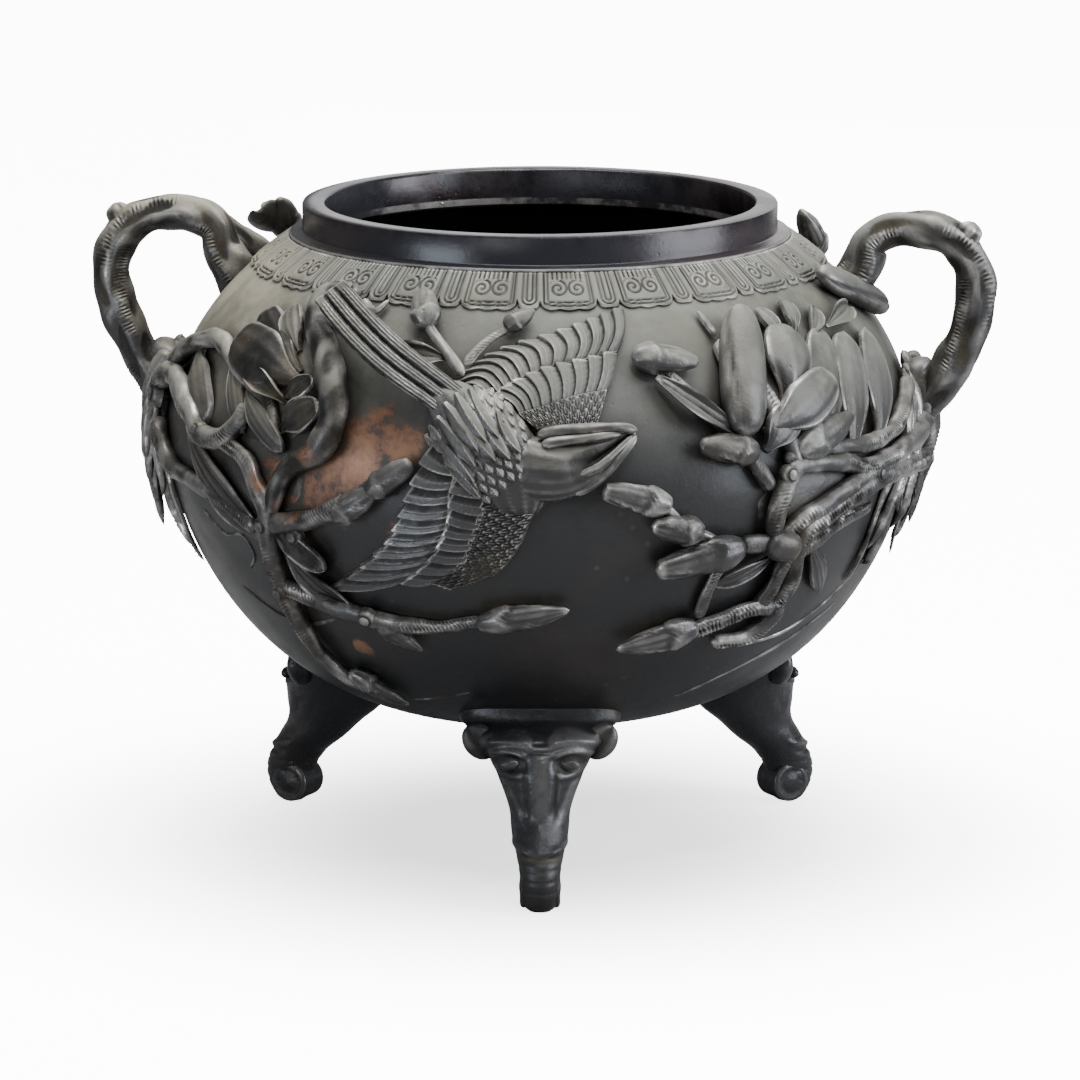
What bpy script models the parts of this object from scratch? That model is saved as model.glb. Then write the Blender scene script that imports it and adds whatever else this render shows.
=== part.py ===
"""A cast bronze jardiniere: a round bowl on three mask feet, with two branch handles and a bird.

The origin is on the ground under the middle of the bowl, +Z is up and the bird is on the -Y side.
Lengths are metres. A place on the bowl's skin is a bearing and a latitude, both in degrees: the
bearing turns from the front (-Y) towards +X, and the latitude climbs from the belly line, 0, to
the shoulder, and falls to -90 under the bowl. A lift is a distance out from the skin there.
"""

import math

import bmesh
import bpy
from mathutils import Vector

# The bowl
BELLY_RADIUS = 0.175
BELLY_HEIGHT = 0.194
SHOULDER_RISE = 0.127
BELLY_DROP = 0.131
KEEL_POWER = 1.6
KEEL_FULLNESS = 0.34
WALL = 0.004
SEGMENTS = 36
SHOULDER_RINGS = 5
KEEL_RINGS = 6
INNER_RINGS = 3

# The neck and its polished collar
RIM_RADIUS = 0.111
RIM_WIDTH = 0.0106
COLLAR_HEIGHT = 0.0135
RIM_EASE = 0.001
LEDGE_REACH = 0.0055
LEDGE_HEIGHT = 0.0026

# The lappet band under the collar
LAPPETS = 23
LAPPET_DROP = 8.0
LAPPET_PROUD = 0.0013
LAPPET_SINK = 0.0018
LAPPET_START = 0.6

# The two branch handles, measured from the belly's widest circle
HANDLE_BEARING = 81.5
HANDLE_OUT = 0.0305
HANDLE_UP = 0.1012
HANDLE_RADIUS = 0.009
HANDLE_SIDES = 8
ROOT_STRANDS = 6

# The three feet. The pads' reach from the axis is a share of the belly's.
FOOT_REACH = BELLY_RADIUS * 0.7943
FOOT_SIDES = 8
FOOT_JOINT = -57
FOOT_UNITS = 84
FOOT_BEARINGS = {"foot_front": 0.0, "foot_back_right": 120.0, "foot_back_left": -120.0}

# The relief. Its lifts and radii are in grains, one of which is a millimetre on this belly.
GRAIN = BELLY_RADIUS / 175
PIECE_GAP = 0.0003
TIP_POINT = 0.5
SKIN_CLEAR = 0.8
TWIG_SIDES = 5
TWIG_DEPTH = 0.85
BUD_SIDES = 6
BUD_DEPTH = 0.7
BUD_SHARES = ((0.0, 0.5), (0.26, 1.0), (0.62, 0.86), (0.94, 0.26))
BLADE_ROWS = 3
BLADE_END = 0.06
BLADE_FULLNESS = 0.8

# Faces that meet at less than the first angle are joined, and at more than the second look sharp
ALMOST_FLAT = 7
SHARP_ANGLE = 40

BRONZE = {"color": (0.045, 0.046, 0.046, 1.0), "roughness": 0.42}
WORN_BRONZE = {"color": (0.062, 0.064, 0.06, 1.0), "roughness": 0.5}


def clear_scene():
    """Takes every object out of the file."""
    for thing in list(bpy.data.objects):
        bpy.data.objects.remove(thing)


def metal(name, look):
    """A metallic Principled material."""
    material = bpy.data.materials.new(name)
    material.use_nodes = True
    shader = material.node_tree.nodes["Principled BSDF"]
    shader.inputs["Base Color"].default_value = look["color"]
    shader.inputs["Roughness"].default_value = look["roughness"]
    shader.inputs["Metallic"].default_value = 1.0
    return material


# Places on the bowl


def bowl_radius(height):
    """Outer radius of the bowl at a height: an ellipse above the belly line, a fuller keel below."""
    if height >= BELLY_HEIGHT:
        share = min(1.0, (height - BELLY_HEIGHT) / SHOULDER_RISE)
        return BELLY_RADIUS * math.sqrt(1 - share**2)
    share = min(1.0, (BELLY_HEIGHT - height) / BELLY_DROP)
    return BELLY_RADIUS * (1 - share**KEEL_POWER) ** KEEL_FULLNESS


def skin_height(latitude):
    """Height of the bowl's skin at a latitude."""
    tall = SHOULDER_RISE if latitude >= 0 else BELLY_DROP
    return BELLY_HEIGHT + tall * math.sin(math.radians(latitude))


def outward(bearing):
    """The level direction away from the axis at a bearing."""
    turn = math.radians(bearing)
    return Vector((math.sin(turn), -math.cos(turn), 0))


def skin_normal(bearing, latitude):
    """The direction out of the bowl's skin."""
    step = 0.5
    low, high = skin_height(latitude - step), skin_height(latitude + step)
    run, rise = bowl_radius(high) - bowl_radius(low), high - low
    return (outward(bearing) * rise - Vector((0, 0, run))).normalized()


def on_bowl(bearing, latitude, lift=0.0):
    """The point a lift outside the bowl's skin."""
    height = skin_height(latitude)
    skin = outward(bearing) * bowl_radius(height) + Vector((0, 0, height))
    return skin + skin_normal(bearing, latitude) * lift


def latitude_of_radius(radius):
    """The shoulder's latitude where the bowl has this radius."""
    return math.degrees(math.acos(radius / BELLY_RADIUS))


NECK_LATITUDE = latitude_of_radius(RIM_RADIUS + LEDGE_REACH)
NECK_HEIGHT = skin_height(NECK_LATITUDE)
RIM_HEIGHT = NECK_HEIGHT + LEDGE_HEIGHT + COLLAR_HEIGHT
FOOT_TOP = skin_height(FOOT_JOINT)
FOOT_UNIT = FOOT_TOP / FOOT_UNITS


# Meshes


def solid_mesh(name, points, faces):
    """A closed mesh whose faces point out."""
    mesh = bpy.data.meshes.new(name)
    mesh.from_pydata([tuple(p) for p in points], [], faces)
    work = bmesh.new()
    work.from_mesh(mesh)
    bmesh.ops.recalc_face_normals(work, faces=work.faces)
    if work.calc_volume(signed=True) < 0:
        bmesh.ops.reverse_faces(work, faces=work.faces)
    work.to_mesh(mesh)
    work.free()
    return mesh


def ring_faces(rings, sides):
    """Quads between successive rings of points."""
    faces = []
    for ring in range(rings - 1):
        for side in range(sides):
            after = (side + 1) % sides
            low, high = ring * sides, (ring + 1) * sides
            faces.append((low + side, low + after, high + after, high + side))
    return faces


def turned(name, outline):
    """A solid of revolution. Its outline runs from the axis, round the shape, back to the axis."""
    points = []
    for radius, height in outline[1:-1]:
        for side in range(SEGMENTS):
            points.append(outward(360 * side / SEGMENTS) * radius + Vector((0, 0, height)))
    rings = len(outline) - 2
    faces = ring_faces(rings, SEGMENTS)
    for ring, (_, height) in ((0, outline[0]), (rings - 1, outline[-1])):
        pole = len(points)
        points.append(Vector((0, 0, height)))
        for side in range(SEGMENTS):
            faces.append((ring * SEGMENTS + side, ring * SEGMENTS + (side + 1) % SEGMENTS, pole))
    return solid_mesh(name, points, faces)


def tube(name, points, ups, widths, depths, sides):
    """A closed tube. Each section is an ellipse, `depths` along its up vector, `widths` across."""
    verts = []
    for i, point in enumerate(points):
        before, after = points[max(i - 1, 0)], points[min(i + 1, len(points) - 1)]
        along = (after - before).normalized()
        across = along.cross(ups[i]).normalized()
        up = across.cross(along)
        for side in range(sides):
            turn = 2 * math.pi * (side + 0.5) / sides
            verts.append(point + across * (widths[i] * math.cos(turn)) + up * (depths[i] * math.sin(turn)))
    faces = ring_faces(len(points), sides)
    for end, inner in ((0, 1), (len(points) - 1, len(points) - 2)):
        tip = len(verts)
        verts.append(points[end] + (points[end] - points[inner]).normalized() * (TIP_POINT * widths[end]))
        for side in range(sides):
            faces.append((end * sides + side, end * sides + (side + 1) % sides, tip))
    return solid_mesh(name, verts, faces)


def slab(name, top, bottom):
    """A closed sheet between two grids of points of the same size."""
    rows, columns = len(top), len(top[0])
    verts = [p for row in top for p in row] + [p for row in bottom for p in row]
    under = rows * columns
    faces = []
    for r in range(rows - 1):
        for c in range(columns - 1):
            a = r * columns + c
            quad = (a, a + 1, a + columns + 1, a + columns)
            faces.append(quad)
            faces.append(tuple(under + v for v in reversed(quad)))
    edge = list(range(columns))
    edge += [r * columns + columns - 1 for r in range(1, rows)]
    edge += [(rows - 1) * columns + c for c in range(columns - 2, -1, -1)]
    edge += [r * columns for r in range(rows - 2, 0, -1)]
    for a, b in zip(edge, edge[1:] + edge[:1]):
        faces.append((a, b, under + b, under + a))
    return solid_mesh(name, verts, faces)


def add_solid(name, mesh, material):
    """A named piece of the jardiniere."""
    piece = bpy.data.objects.new(name, mesh)
    bpy.context.scene.collection.objects.link(piece)
    mesh.materials.append(material)
    mesh.shade_smooth()
    mesh.set_sharp_from_angle(angle=math.radians(SHARP_ANGLE))
    return piece


def add_helper(name, mesh, collection):
    """A shape that only a Boolean uses."""
    helper = bpy.data.objects.new(name, mesh)
    collection.objects.link(helper)
    helper.hide_render = True
    helper.display_type = "WIRE"
    return helper


def unite(name, meshes, material):
    """One solid from overlapping closed meshes."""
    piece = add_solid(name, meshes[0], material)
    shapes = bpy.data.collections.new(name + "_shapes")
    bpy.context.scene.collection.children.link(shapes)
    for i, mesh in enumerate(meshes[1:]):
        add_helper(f"{name}_shape_{i}", mesh, shapes)
    union = piece.modifiers.new("union", "BOOLEAN")
    union.operation = "UNION"
    union.operand_type = "COLLECTION"
    union.collection = shapes
    return piece


def apply_to_bowl(name, meshes, material, cutter):
    """A piece that lies on the bowl: united, eased where it is almost flat and trimmed to the skin."""
    piece = unite(name, meshes, material)
    ease = piece.modifiers.new("ease", "DECIMATE")
    ease.decimate_type = "DISSOLVE"
    ease.angle_limit = math.radians(ALMOST_FLAT)
    trim = piece.modifiers.new("trim", "BOOLEAN")
    trim.operation = "DIFFERENCE"
    trim.object = cutter


# The bowl


def skin_outline(grow=0.0):
    """The outer outline from the neck down to the keel's lowest point, `grow` outside the skin."""
    latitudes = [NECK_LATITUDE * (1 - ring / SHOULDER_RINGS) for ring in range(SHOULDER_RINGS + 1)]
    latitudes += [-90 * math.sin(math.pi / 2 * ring / KEEL_RINGS) for ring in range(1, KEEL_RINGS)]
    outline = []
    for latitude in latitudes:
        point = on_bowl(90, latitude, grow)
        outline.append((point.x, point.z))
    return [*outline, (0.0, BELLY_HEIGHT - BELLY_DROP - grow)]


def clearance_outline():
    """The skin and the whole width of the lappet band, a working gap larger.

    The lappets are rounder than the bowl's facets, so the band is as wide as their corners reach.
    """
    end = NECK_LATITUDE - LAPPET_START - LAPPET_DROP - LAPPET_START
    round_off = BELLY_RADIUS * (1 - math.cos(math.pi / SEGMENTS))
    proud = LAPPET_PROUD + PIECE_GAP + round_off
    places = [on_bowl(90, NECK_LATITUDE, proud), on_bowl(90, end, proud), on_bowl(90, end, PIECE_GAP)]
    skin = [p for p in skin_outline(PIECE_GAP) if p[1] < places[-1].z - 2 * proud]
    return [(0.0, places[0].z), *[(p.x, p.z) for p in places], *skin]


def inner_outline():
    """The hollow's outline from its lowest point up to the lip under the collar."""
    keel, shoulder = BELLY_DROP - WALL, SHOULDER_RISE - WALL
    lip = math.degrees(math.acos((RIM_RADIUS + LEDGE_REACH - WALL) / (BELLY_RADIUS - WALL)))
    outline = [(0.0, BELLY_HEIGHT - keel)]
    for ring in range(INNER_RINGS, 0, -1):
        share = math.sin(math.pi / 2 * ring / (INNER_RINGS + 1))
        radius = (BELLY_RADIUS - WALL) * (1 - share**KEEL_POWER) ** KEEL_FULLNESS
        outline.append((radius, BELLY_HEIGHT - keel * share))
    for ring in range(INNER_RINGS + 1):
        turn = math.radians(lip * ring / INNER_RINGS)
        radius = (BELLY_RADIUS - WALL) * math.cos(turn)
        outline.append((radius, BELLY_HEIGHT + shoulder * math.sin(turn)))
    return outline


def bowl_mesh():
    """The bowl with its neck, ledge and collar, open at the top."""
    ledge = RIM_RADIUS + LEDGE_REACH
    mouth = RIM_RADIUS - RIM_WIDTH
    inner = inner_outline()
    outline = inner + [
        (mouth, inner[-1][1]),
        (mouth, RIM_HEIGHT - RIM_EASE),
        (mouth + RIM_EASE, RIM_HEIGHT),
        (RIM_RADIUS - RIM_EASE, RIM_HEIGHT),
        (RIM_RADIUS, RIM_HEIGHT - RIM_EASE),
        (RIM_RADIUS, NECK_HEIGHT + LEDGE_HEIGHT),
        (ledge, NECK_HEIGHT + LEDGE_HEIGHT),
    ]
    return turned("bowl", outline + skin_outline())


def lappet_mesh():
    """The raised band: wide lappets with narrow tongues between, as one closed ring."""
    drops = (0.66, 1.0, 1.0, 0.66, 0.94)
    places = (0.0, 0.16, 0.56, 0.72, 0.86)
    start = NECK_LATITUDE - LAPPET_START
    ring = []
    for lappet in range(LAPPETS):
        for place, drop in zip(places, drops):
            bearing = 360 * (lappet + place) / LAPPETS
            end = start - LAPPET_DROP * drop
            ring += [
                on_bowl(bearing, start, LAPPET_PROUD),
                on_bowl(bearing, end, LAPPET_PROUD),
                on_bowl(bearing, end, -LAPPET_SINK),
                on_bowl(bearing, start, -LAPPET_SINK),
            ]
    around = LAPPETS * len(places)
    faces = []
    for i in range(around):
        here, after = 4 * i, 4 * ((i + 1) % around)
        for k in range(4):
            faces.append((here + k, here + (k + 1) % 4, after + (k + 1) % 4, after + k))
    return solid_mesh("lappets", ring, faces)


# What grows over the bowl


def vine(stations):
    """A branch over the skin.

    A station is bearing, latitude, radius and, where it isn't the usual one, the clear height.
    """
    points, ups, widths = [], [], []
    for bearing, latitude, radius, *own in stations:
        clear = own[0] if own else SKIN_CLEAR
        points.append(on_bowl(bearing, latitude, (clear + radius * TWIG_DEPTH) * GRAIN))
        ups.append(skin_normal(bearing, latitude))
        widths.append(radius * GRAIN)
    return tube("vine", points, ups, widths, [w * TWIG_DEPTH for w in widths], TWIG_SIDES)


def bud(base, tip, radius, clear=SKIN_CLEAR, rise=0.0):
    """A closed magnolia bud between two places, a clear height over the skin, its tip raised."""
    start = on_bowl(*base, (clear + radius * BUD_DEPTH) * GRAIN)
    end = on_bowl(*tip, (clear + rise + radius * BUD_DEPTH) * GRAIN)
    normal = skin_normal((base[0] + tip[0]) / 2, (base[1] + tip[1]) / 2)
    points = [start.lerp(end, share) for share, _ in BUD_SHARES]
    widths = [radius * GRAIN * share for _, share in BUD_SHARES]
    return tube("bud", points, [normal] * len(points), widths, [w * BUD_DEPTH for w in widths], BUD_SIDES)


def blade(base, tip, width, lifts, cup, thick=2.4, bow=0.0):
    """A leaf or petal between two places, with its lifts at the base, the middle and the tip.

    Its sides rise by the cup, and its middle line bows sideways.
    """
    top, bottom = [], []
    for row in range(BLADE_ROWS + 1):
        share = row / BLADE_ROWS
        bearing, latitude = (a + (b - a) * share for a, b in zip(base, tip))
        lift = blend_three(lifts, share) * GRAIN
        normal = skin_normal(bearing, latitude)
        middle = on_bowl(bearing, latitude, lift)
        ahead = on_bowl(*(v + (b - a) * 0.01 for v, a, b in zip((bearing, latitude), base, tip)), lift)
        across = (ahead - middle).normalized().cross(normal)
        middle += across * (bow * GRAIN * math.sin(math.pi * share))
        fullness = math.sin(math.pi * (BLADE_END + (1 - 2 * BLADE_END) * share)) ** BLADE_FULLNESS
        half = width * GRAIN * fullness / 2
        rise = cup * GRAIN * fullness
        line = [middle + across * (half * t) + normal * (rise * t * t) for t in (-1, 0, 1)]
        top.append(line)
        bottom.append([p - normal * (thick * GRAIN) for p in line])
    return slab("blade", top, bottom)


def blend_three(values, share):
    """The parabola through a start, middle and end value."""
    start, middle, end = values
    bend = 4 * middle - 2 * start - 2 * end
    return start + (end - start) * share + bend * share * (1 - share)


# The handles


# A handle's stations: shares of its reach, of its rise and of its radius
LOOP = (
    (-1.2, 0.66, 1.25),
    (-0.85, 0.82, 1.05),
    (-0.7, 0.94, 0.95),
    (-0.28, 1.0, 0.92),
    (0.26, 0.995, 0.94),
    (0.72, 0.935, 0.97),
    (0.98, 0.81, 1.0),
    (1.0, 0.65, 1.02),
    (0.8, 0.46, 1.02),
    (0.44, 0.28, 1.0),
    (0.12, 0.13, 0.95),
    (-0.1, -0.03, 0.8),
)
FORK = ((0.3, 0.98, 0.7), (-0.3, 0.965, 0.75), (-0.85, 0.85, 0.8), (-1.25, 0.7, 0.95))
FORK_TURNS = (0, -3, -9, -14)
STUB = ((0.72, 0.9, 0.72), (0.87, 0.98, 0.62), (0.975, 1.036, 0.55))


def handle_tube(side, shares, turns=None, sides=HANDLE_SIDES):
    """A branch through the air on one side, +1 or -1.

    Its stations are shares of the handle's reach from the belly's widest circle, of its rise from
    the belly line and of its radius. Turns are degrees from the handle's plane.
    """
    points, ups, radii = [], [], []
    for turn, (out, up, size) in zip(turns or [0] * len(shares), shares):
        bearing = bearing_of(side) + turn
        middle = outward(bearing) * (BELLY_RADIUS + out * HANDLE_OUT)
        points.append(middle + Vector((0, 0, BELLY_HEIGHT + up * HANDLE_UP)))
        ups.append(outward(bearing + 90))
        radii.append(size * HANDLE_RADIUS)
    return tube("handle", points, ups, radii, radii, sides)


def bearing_of(side):
    """The bearing of the handle's plane on the right, +1, or the left, -1."""
    return HANDLE_BEARING if side > 0 else HANDLE_BEARING - 180


# The bark bundle's rows: latitude, half its width in degrees, clear height and thickness in grains
ROOT_ROWS = ((17, 2.2, 2.0, 6.0), (6, 5.4, 2.0, 5.0), (-6, 8.6, 1.4, 4.1), (-19, 10.6, 1.2, 3.1))
ROOT_TIPS = (-30, 11.6, 2.2, 2.2)
ROOT_RIDGE = 1.4
ROOT_UNEVEN = 0.22
ROOT_PHASE = 2.4
ROOT_NOTCH = 0.38


def roots(side):
    """The bark under a handle: one ridged bundle down the wall, its pointed tips standing clear."""
    top, bottom = [], []
    for row in (*ROOT_ROWS, ROOT_TIPS):
        latitude, half, clear, thick = row
        upper, lower = [], []
        for column in range(2 * ROOT_STRANDS + 1):
            ridge = column % 2
            drop = latitude
            if row is ROOT_TIPS:
                last = ROOT_ROWS[-1][0]
                length = 1 + ROOT_UNEVEN * math.cos(ROOT_PHASE * column) if ridge else ROOT_NOTCH
                drop = last + (latitude - last) * length
            bearing = bearing_of(side) + half * (column - ROOT_STRANDS) / ROOT_STRANDS
            upper.append(on_bowl(bearing, drop, (clear + thick * ROOT_RIDGE**ridge) * GRAIN))
            lower.append(on_bowl(bearing, drop, clear * GRAIN))
        top.append(upper)
        bottom.append(lower)
    return slab("roots", top, bottom)


# The sprays of magnolia, each with its handle


def left_spray():
    """Branches, blossom and buds that spread from the left handle to the front and the back."""
    over = [
        (-98, 12, 7, 1.2), (-81, 21, 5.5), (-64, 26, 4.6), (-53, 20, 4), (-46, 13, 3.6),
        (-42, 1, 4),
    ]
    down = [
        (-98, 3, 6.5, 1.6), (-84, 8, 6, 1.0), (-70, 13, 5), (-60, 6, 5), (-50, 3, 4.6),
        (-44, -8, 5), (-44, -25, 4.6), (-42, -41, 4), (-37, -47, 3),
    ]
    inward = [(-44, -9, 4.8), (-36, -7, 4.4), (-30, -4, 5), (-25, 0, 4), (-21.5, 4, 3.4)]
    arc = [
        (-43, 37, 5.2, 1.5), (-38.5, 30, 5.2), (-34, 20, 5.2), (-34, 11, 5.2), (-39, 4, 5),
        (-43, -3, 4),
    ]
    low = [(-44, -20, 4.6), (-35, -23, 4.4), (-27, -25, 4.6), (-18, -26, 3.4), (-9, -24, 3)]
    back = [
        (-101, 5, 7), (-110, 6, 6.2), (-124, 10, 5.4), (-133, 21, 4.8), (-131, 32, 4.4, 1.5),
        (-124, 37, 4, 3),
    ]
    back_low = [(-124, 10, 5), (-138, 2, 4.6), (-152, -4, 4), (-164, -2, 3)]
    vines = [vine(stations) for stations in (over, down, inward, arc, low, back, back_low)]
    buds = [
        bud((-10, -24), (4.5, -20.5), 6.5),
        bud((-38, -41), (-29, -51), 5.5),
        bud((-27, -25), (-20, -32), 5.0),
        bud((-125, 36.5), (-117, 43), 7.5, clear=3, rise=11),
        bud((-163, -2), (-177, 3), 8, rise=6),
    ]
    petals = [
        blade((-56, 22), (-38, 33), 25, (4, 9, 6), 5),
        blade((-53, 21), (-38, 12), 21, (3.4, 7, 5), 4, bow=-3),
        blade((-60, 20), (-58, 34), 18, (3, 5, 3), 3),
        blade((-72, 20), (-64, 8), 20, (3.5, 6, 3), -2),
        blade((-124, 37), (-112, 41), 18, (9, 15, 19), 3),
        blade((-131, 25), (-149, 32), 22, (4, 9, 6), 4),
        blade((-130, 19), (-148, 12), 22, (4, 8, 5), 4),
    ]
    return vines + buds + petals


def right_spray():
    """Branches, the large blossom and buds that spread from the right handle."""
    main = [
        (82, 10, 7, 1.2), (70, 4, 5.4), (60, 0, 4.8), (49, 1, 4.4), (41, 4, 4.6), (35.5, 1, 4.8),
        (33, -8, 4.8), (27, -10, 3),
    ]
    second = [
        (82, 0, 6, 1.4), (66, -2, 5), (55, -3, 4.6), (45, -5, 4.6), (40, -10, 4.4), (39, -16, 4.4),
        (42, -22, 4.2), (34, -25.5, 4), (25, -28, 3),
    ]
    link = [(29, -10, 2.6), (27, -17, 2.6), (26, -25, 2.6)]
    spur = [(35.5, 1, 3.6), (33, 6, 3.4), (31, 9, 3)]
    outer = [(75, 33, 5), (69, 22, 4.6), (62, 8, 4.6), (56, -2, 4)]
    loop = [(46, -4, 4.4), (58, -12, 4), (50, -20, 3.6), (42, -22.5, 3)]
    stalk = [(41, 4, 4), (38, 14, 4.6), (36, 22, 4)]
    upper = [(31, 9, 2.4), (22, 24, 2.2), (17, 28, 2.2)]
    lower = [(28, -9, 2.6), (22, -5, 2.4), (18, 0, 2.2)]
    back = [(88, 4, 6.5), (104, 6, 5.4), (116, 12, 5), (123, 23, 4.4), (118, 34, 3.8, 1.5)]
    back_low = [(116, 12, 5), (130, 4, 4.6), (146, 2, 4), (160, 10, 3)]
    routes = (main, second, link, spur, outer, loop, stalk, upper, lower, back, back_low)
    vines = [vine(stations) for stations in routes]
    buds = [
        bud((33, 8.5), (23.5, 11), 7.0),
        bud((31, -9), (17, -12.5), 8.0),
        bud((24, -5.5), (16, -3.5), 6.5),
        bud((19, 0), (8.8, 3.4), 6.4),
        bud((14.8, 28.5), (26, 26.5), 7.0),
        bud((41, -10), (33.5, -8.5), 6.2, clear=2.5),
        bud((26, -26), (12.5, -30.5), 7.0),
        bud((40, 7.5), (53, 12.5), 7.5, clear=1.6),
        bud((86, 30), (66, 43), 8.0, clear=1.5),
        bud((119, 33), (112, 44), 7.5, clear=1.5, rise=6),
        bud((159, 9), (170, 15), 6.5),
    ]
    petals = [
        blade((34, 12), (37.5, 37), 25, (5, 13, 8), -3.5, thick=4),
        blade((36, 24), (55, 30), 26, (4, 11, 7), 5, thick=3),
        blade((37, 13), (54, 20), 24, (4, 12, 9), 4.5, thick=3),
        blade((52, 31), (58, 8), 17, (4, 9, 4), 3, thick=3, bow=-4),
        blade((60, 32), (66, 6), 17, (4, 8, 4), 3, thick=3, bow=-4),
        blade((32, 9), (18.5, 26), 17, (3.5, 9, 3), -4, bow=-3),
        blade((121, 25), (141, 31), 22, (4, 9, 6), 4),
        blade((120, 19), (146, 15), 20, (4, 8, 5), 4),
    ]
    return vines + buds + petals


# The bird


# A wing's edges run from its root to its tip, and its lifts are those of the front edge there
UPPER_WING = {
    "lead": ((0.5, 6), (2, 14), (9, 17), (12, 27), (16, 41)),
    "trail": ((-8, 20), (-13, 27), (-9, 32), (0, 36.5), (12, 41.5)),
    "feathers": 7,
    "lifts": (8, 3.5),
    "sink": 1.5,
}
LOWER_WING = {
    "lead": ((2, 2), (-1, -2), (-4, -9), (-13, -15), (-34, -20.5)),
    "trail": ((-14, 17), (-18.5, 9), (-21, -1), (-26, -10), (-35, -19)),
    "feathers": 8,
    "lifts": (9, 5),
    "sink": 3.5,
}
FEATHER_RIDGE = 0.9
FEATHER_NOTCH = 0.93

# Across a wing: the share from its front edge to its back one, and the share of the edge's lift
WING_STEPS = ((0.0, 1.0), (0.34, 1.05), (0.4, 0.72), (1.0, 0.5))

# The tail: bearing, latitude, lift and width, then its ridges from side to side and its thickness
TAIL = (
    (-9, 17, 9, 14), (-15, 23.5, 11, 15), (-24, 30, 14, 17), (-33, 35, 16.5, 17),
    (-38.5, 38, 17.5, 12),
)
TAIL_RIDGES = (
    (-1.0, -1.2), (-0.62, 1.1), (-0.33, -0.2), (0.0, 1.8), (0.33, -0.2), (0.62, 1.1), (1.0, -1.2),
)
TAIL_THICK = 4.0
TAIL_THIN = 2.8

# The body and the head: bearing, latitude, lift of the middle and radius
BODY = (
    (-14, 22, 5.5, 7), (-10, 17, 5, 12), (-6, 12, 4.5, 16), (-2, 7.5, 4.5, 17.5),
    (2, 5.5, 5, 16), (5.5, 6.5, 6, 12), (7, 7.5, 6.5, 8),
)
HEAD = ((4, 6, 8, 9), (7, 8, 8.5, 7.4), (9.5, 10.5, 8.5, 4.2), (12, 13, 8, 1.2))
BODY_DEPTH = 0.8


def along_edge(edge, share):
    """The place at a share of a wing's edge, from root to tip."""
    span = share * (len(edge) - 1)
    i = min(int(span), len(edge) - 2)
    return tuple(a + (b - a) * (span - i) for a, b in zip(edge[i], edge[i + 1]))


def wing(lead, trail, feathers, lifts, sink):
    """An open wing laid on the wall: one ridge a feather, stepped down in two overlapping rows."""
    top, bottom = [], []
    for column in range(2 * feathers + 1):
        share = column / (2 * feathers)
        ridge = column % 2
        front, back = along_edge(lead, share), along_edge(trail, share)
        high = lifts[0] + (lifts[1] - lifts[0]) * share
        upper, lower = [], []
        for across, level in WING_STEPS:
            if across == 1.0 and not ridge:
                across = FEATHER_NOTCH
            bearing, latitude = (a + (b - a) * across for a, b in zip(front, back))
            upper.append(on_bowl(bearing, latitude, (high * level + FEATHER_RIDGE * ridge) * GRAIN))
            lower.append(on_bowl(bearing, latitude, -sink * GRAIN))
        top.append(upper)
        bottom.append(lower)
    return slab("wing", top, bottom)


def tail():
    """The long tail: three ridged feathers that leave the wall towards a rounded tip."""
    top, bottom = [], []
    for i, (bearing, latitude, lift, width) in enumerate(TAIL):
        before, after = TAIL[max(i - 1, 0)], TAIL[min(i + 1, len(TAIL) - 1)]
        normal = skin_normal(bearing, latitude)
        along = on_bowl(after[0], after[1]) - on_bowl(before[0], before[1])
        across = along.cross(normal).normalized() * (width * GRAIN / 2)
        middle = on_bowl(bearing, latitude, lift * GRAIN)
        top.append([middle + across * t + normal * (rise * GRAIN) for t, rise in TAIL_RIDGES])
        depths = [TAIL_THICK + (TAIL_THIN - TAIL_THICK) * abs(t) for t, _ in TAIL_RIDGES]
        lows = zip(TAIL_RIDGES, depths)
        bottom.append([middle + across * t - normal * (depth * GRAIN) for (t, _), depth in lows])
    return slab("tail", top, bottom)


def perch(stations, sides):
    """A rounded part of the bird. A station is bearing, latitude, lift of its middle and radius."""
    points = [on_bowl(b, a, lift * GRAIN) for b, a, lift, _ in stations]
    ups = [skin_normal(b, a) for b, a, _, _ in stations]
    widths = [radius * GRAIN for *_, radius in stations]
    return tube("bird", points, ups, widths, [w * BODY_DEPTH for w in widths], sides)


def bird_meshes():
    """The bird in flight across the front, its beak to the right, and the twigs behind its back."""
    bird = [perch(BODY, 8), perch(HEAD, 6), wing(**UPPER_WING), wing(**LOWER_WING), tail()]
    twigs = [
        vine([(-12, 25, 2.6, 3), (-15, 29, 2.4, 3), (-17.5, 32, 2.2, 3), (-20, 35, 2.6, 3)]),
        bud((-19.5, 34), (-23, 42), 6.5, clear=2),
        blade((-15.5, 28.5), (-25, 27.5), 14, (3, 7, 5), 3),
        vine([(-12, 27, 2.4, 3), (-9, 32, 2, 2.6), (-5, 35, 2, 2.6)]),
        bud((-6, 34.5), (-1, 38.5), 4.6, clear=2),
    ]
    return bird + twigs


# The feet


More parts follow.
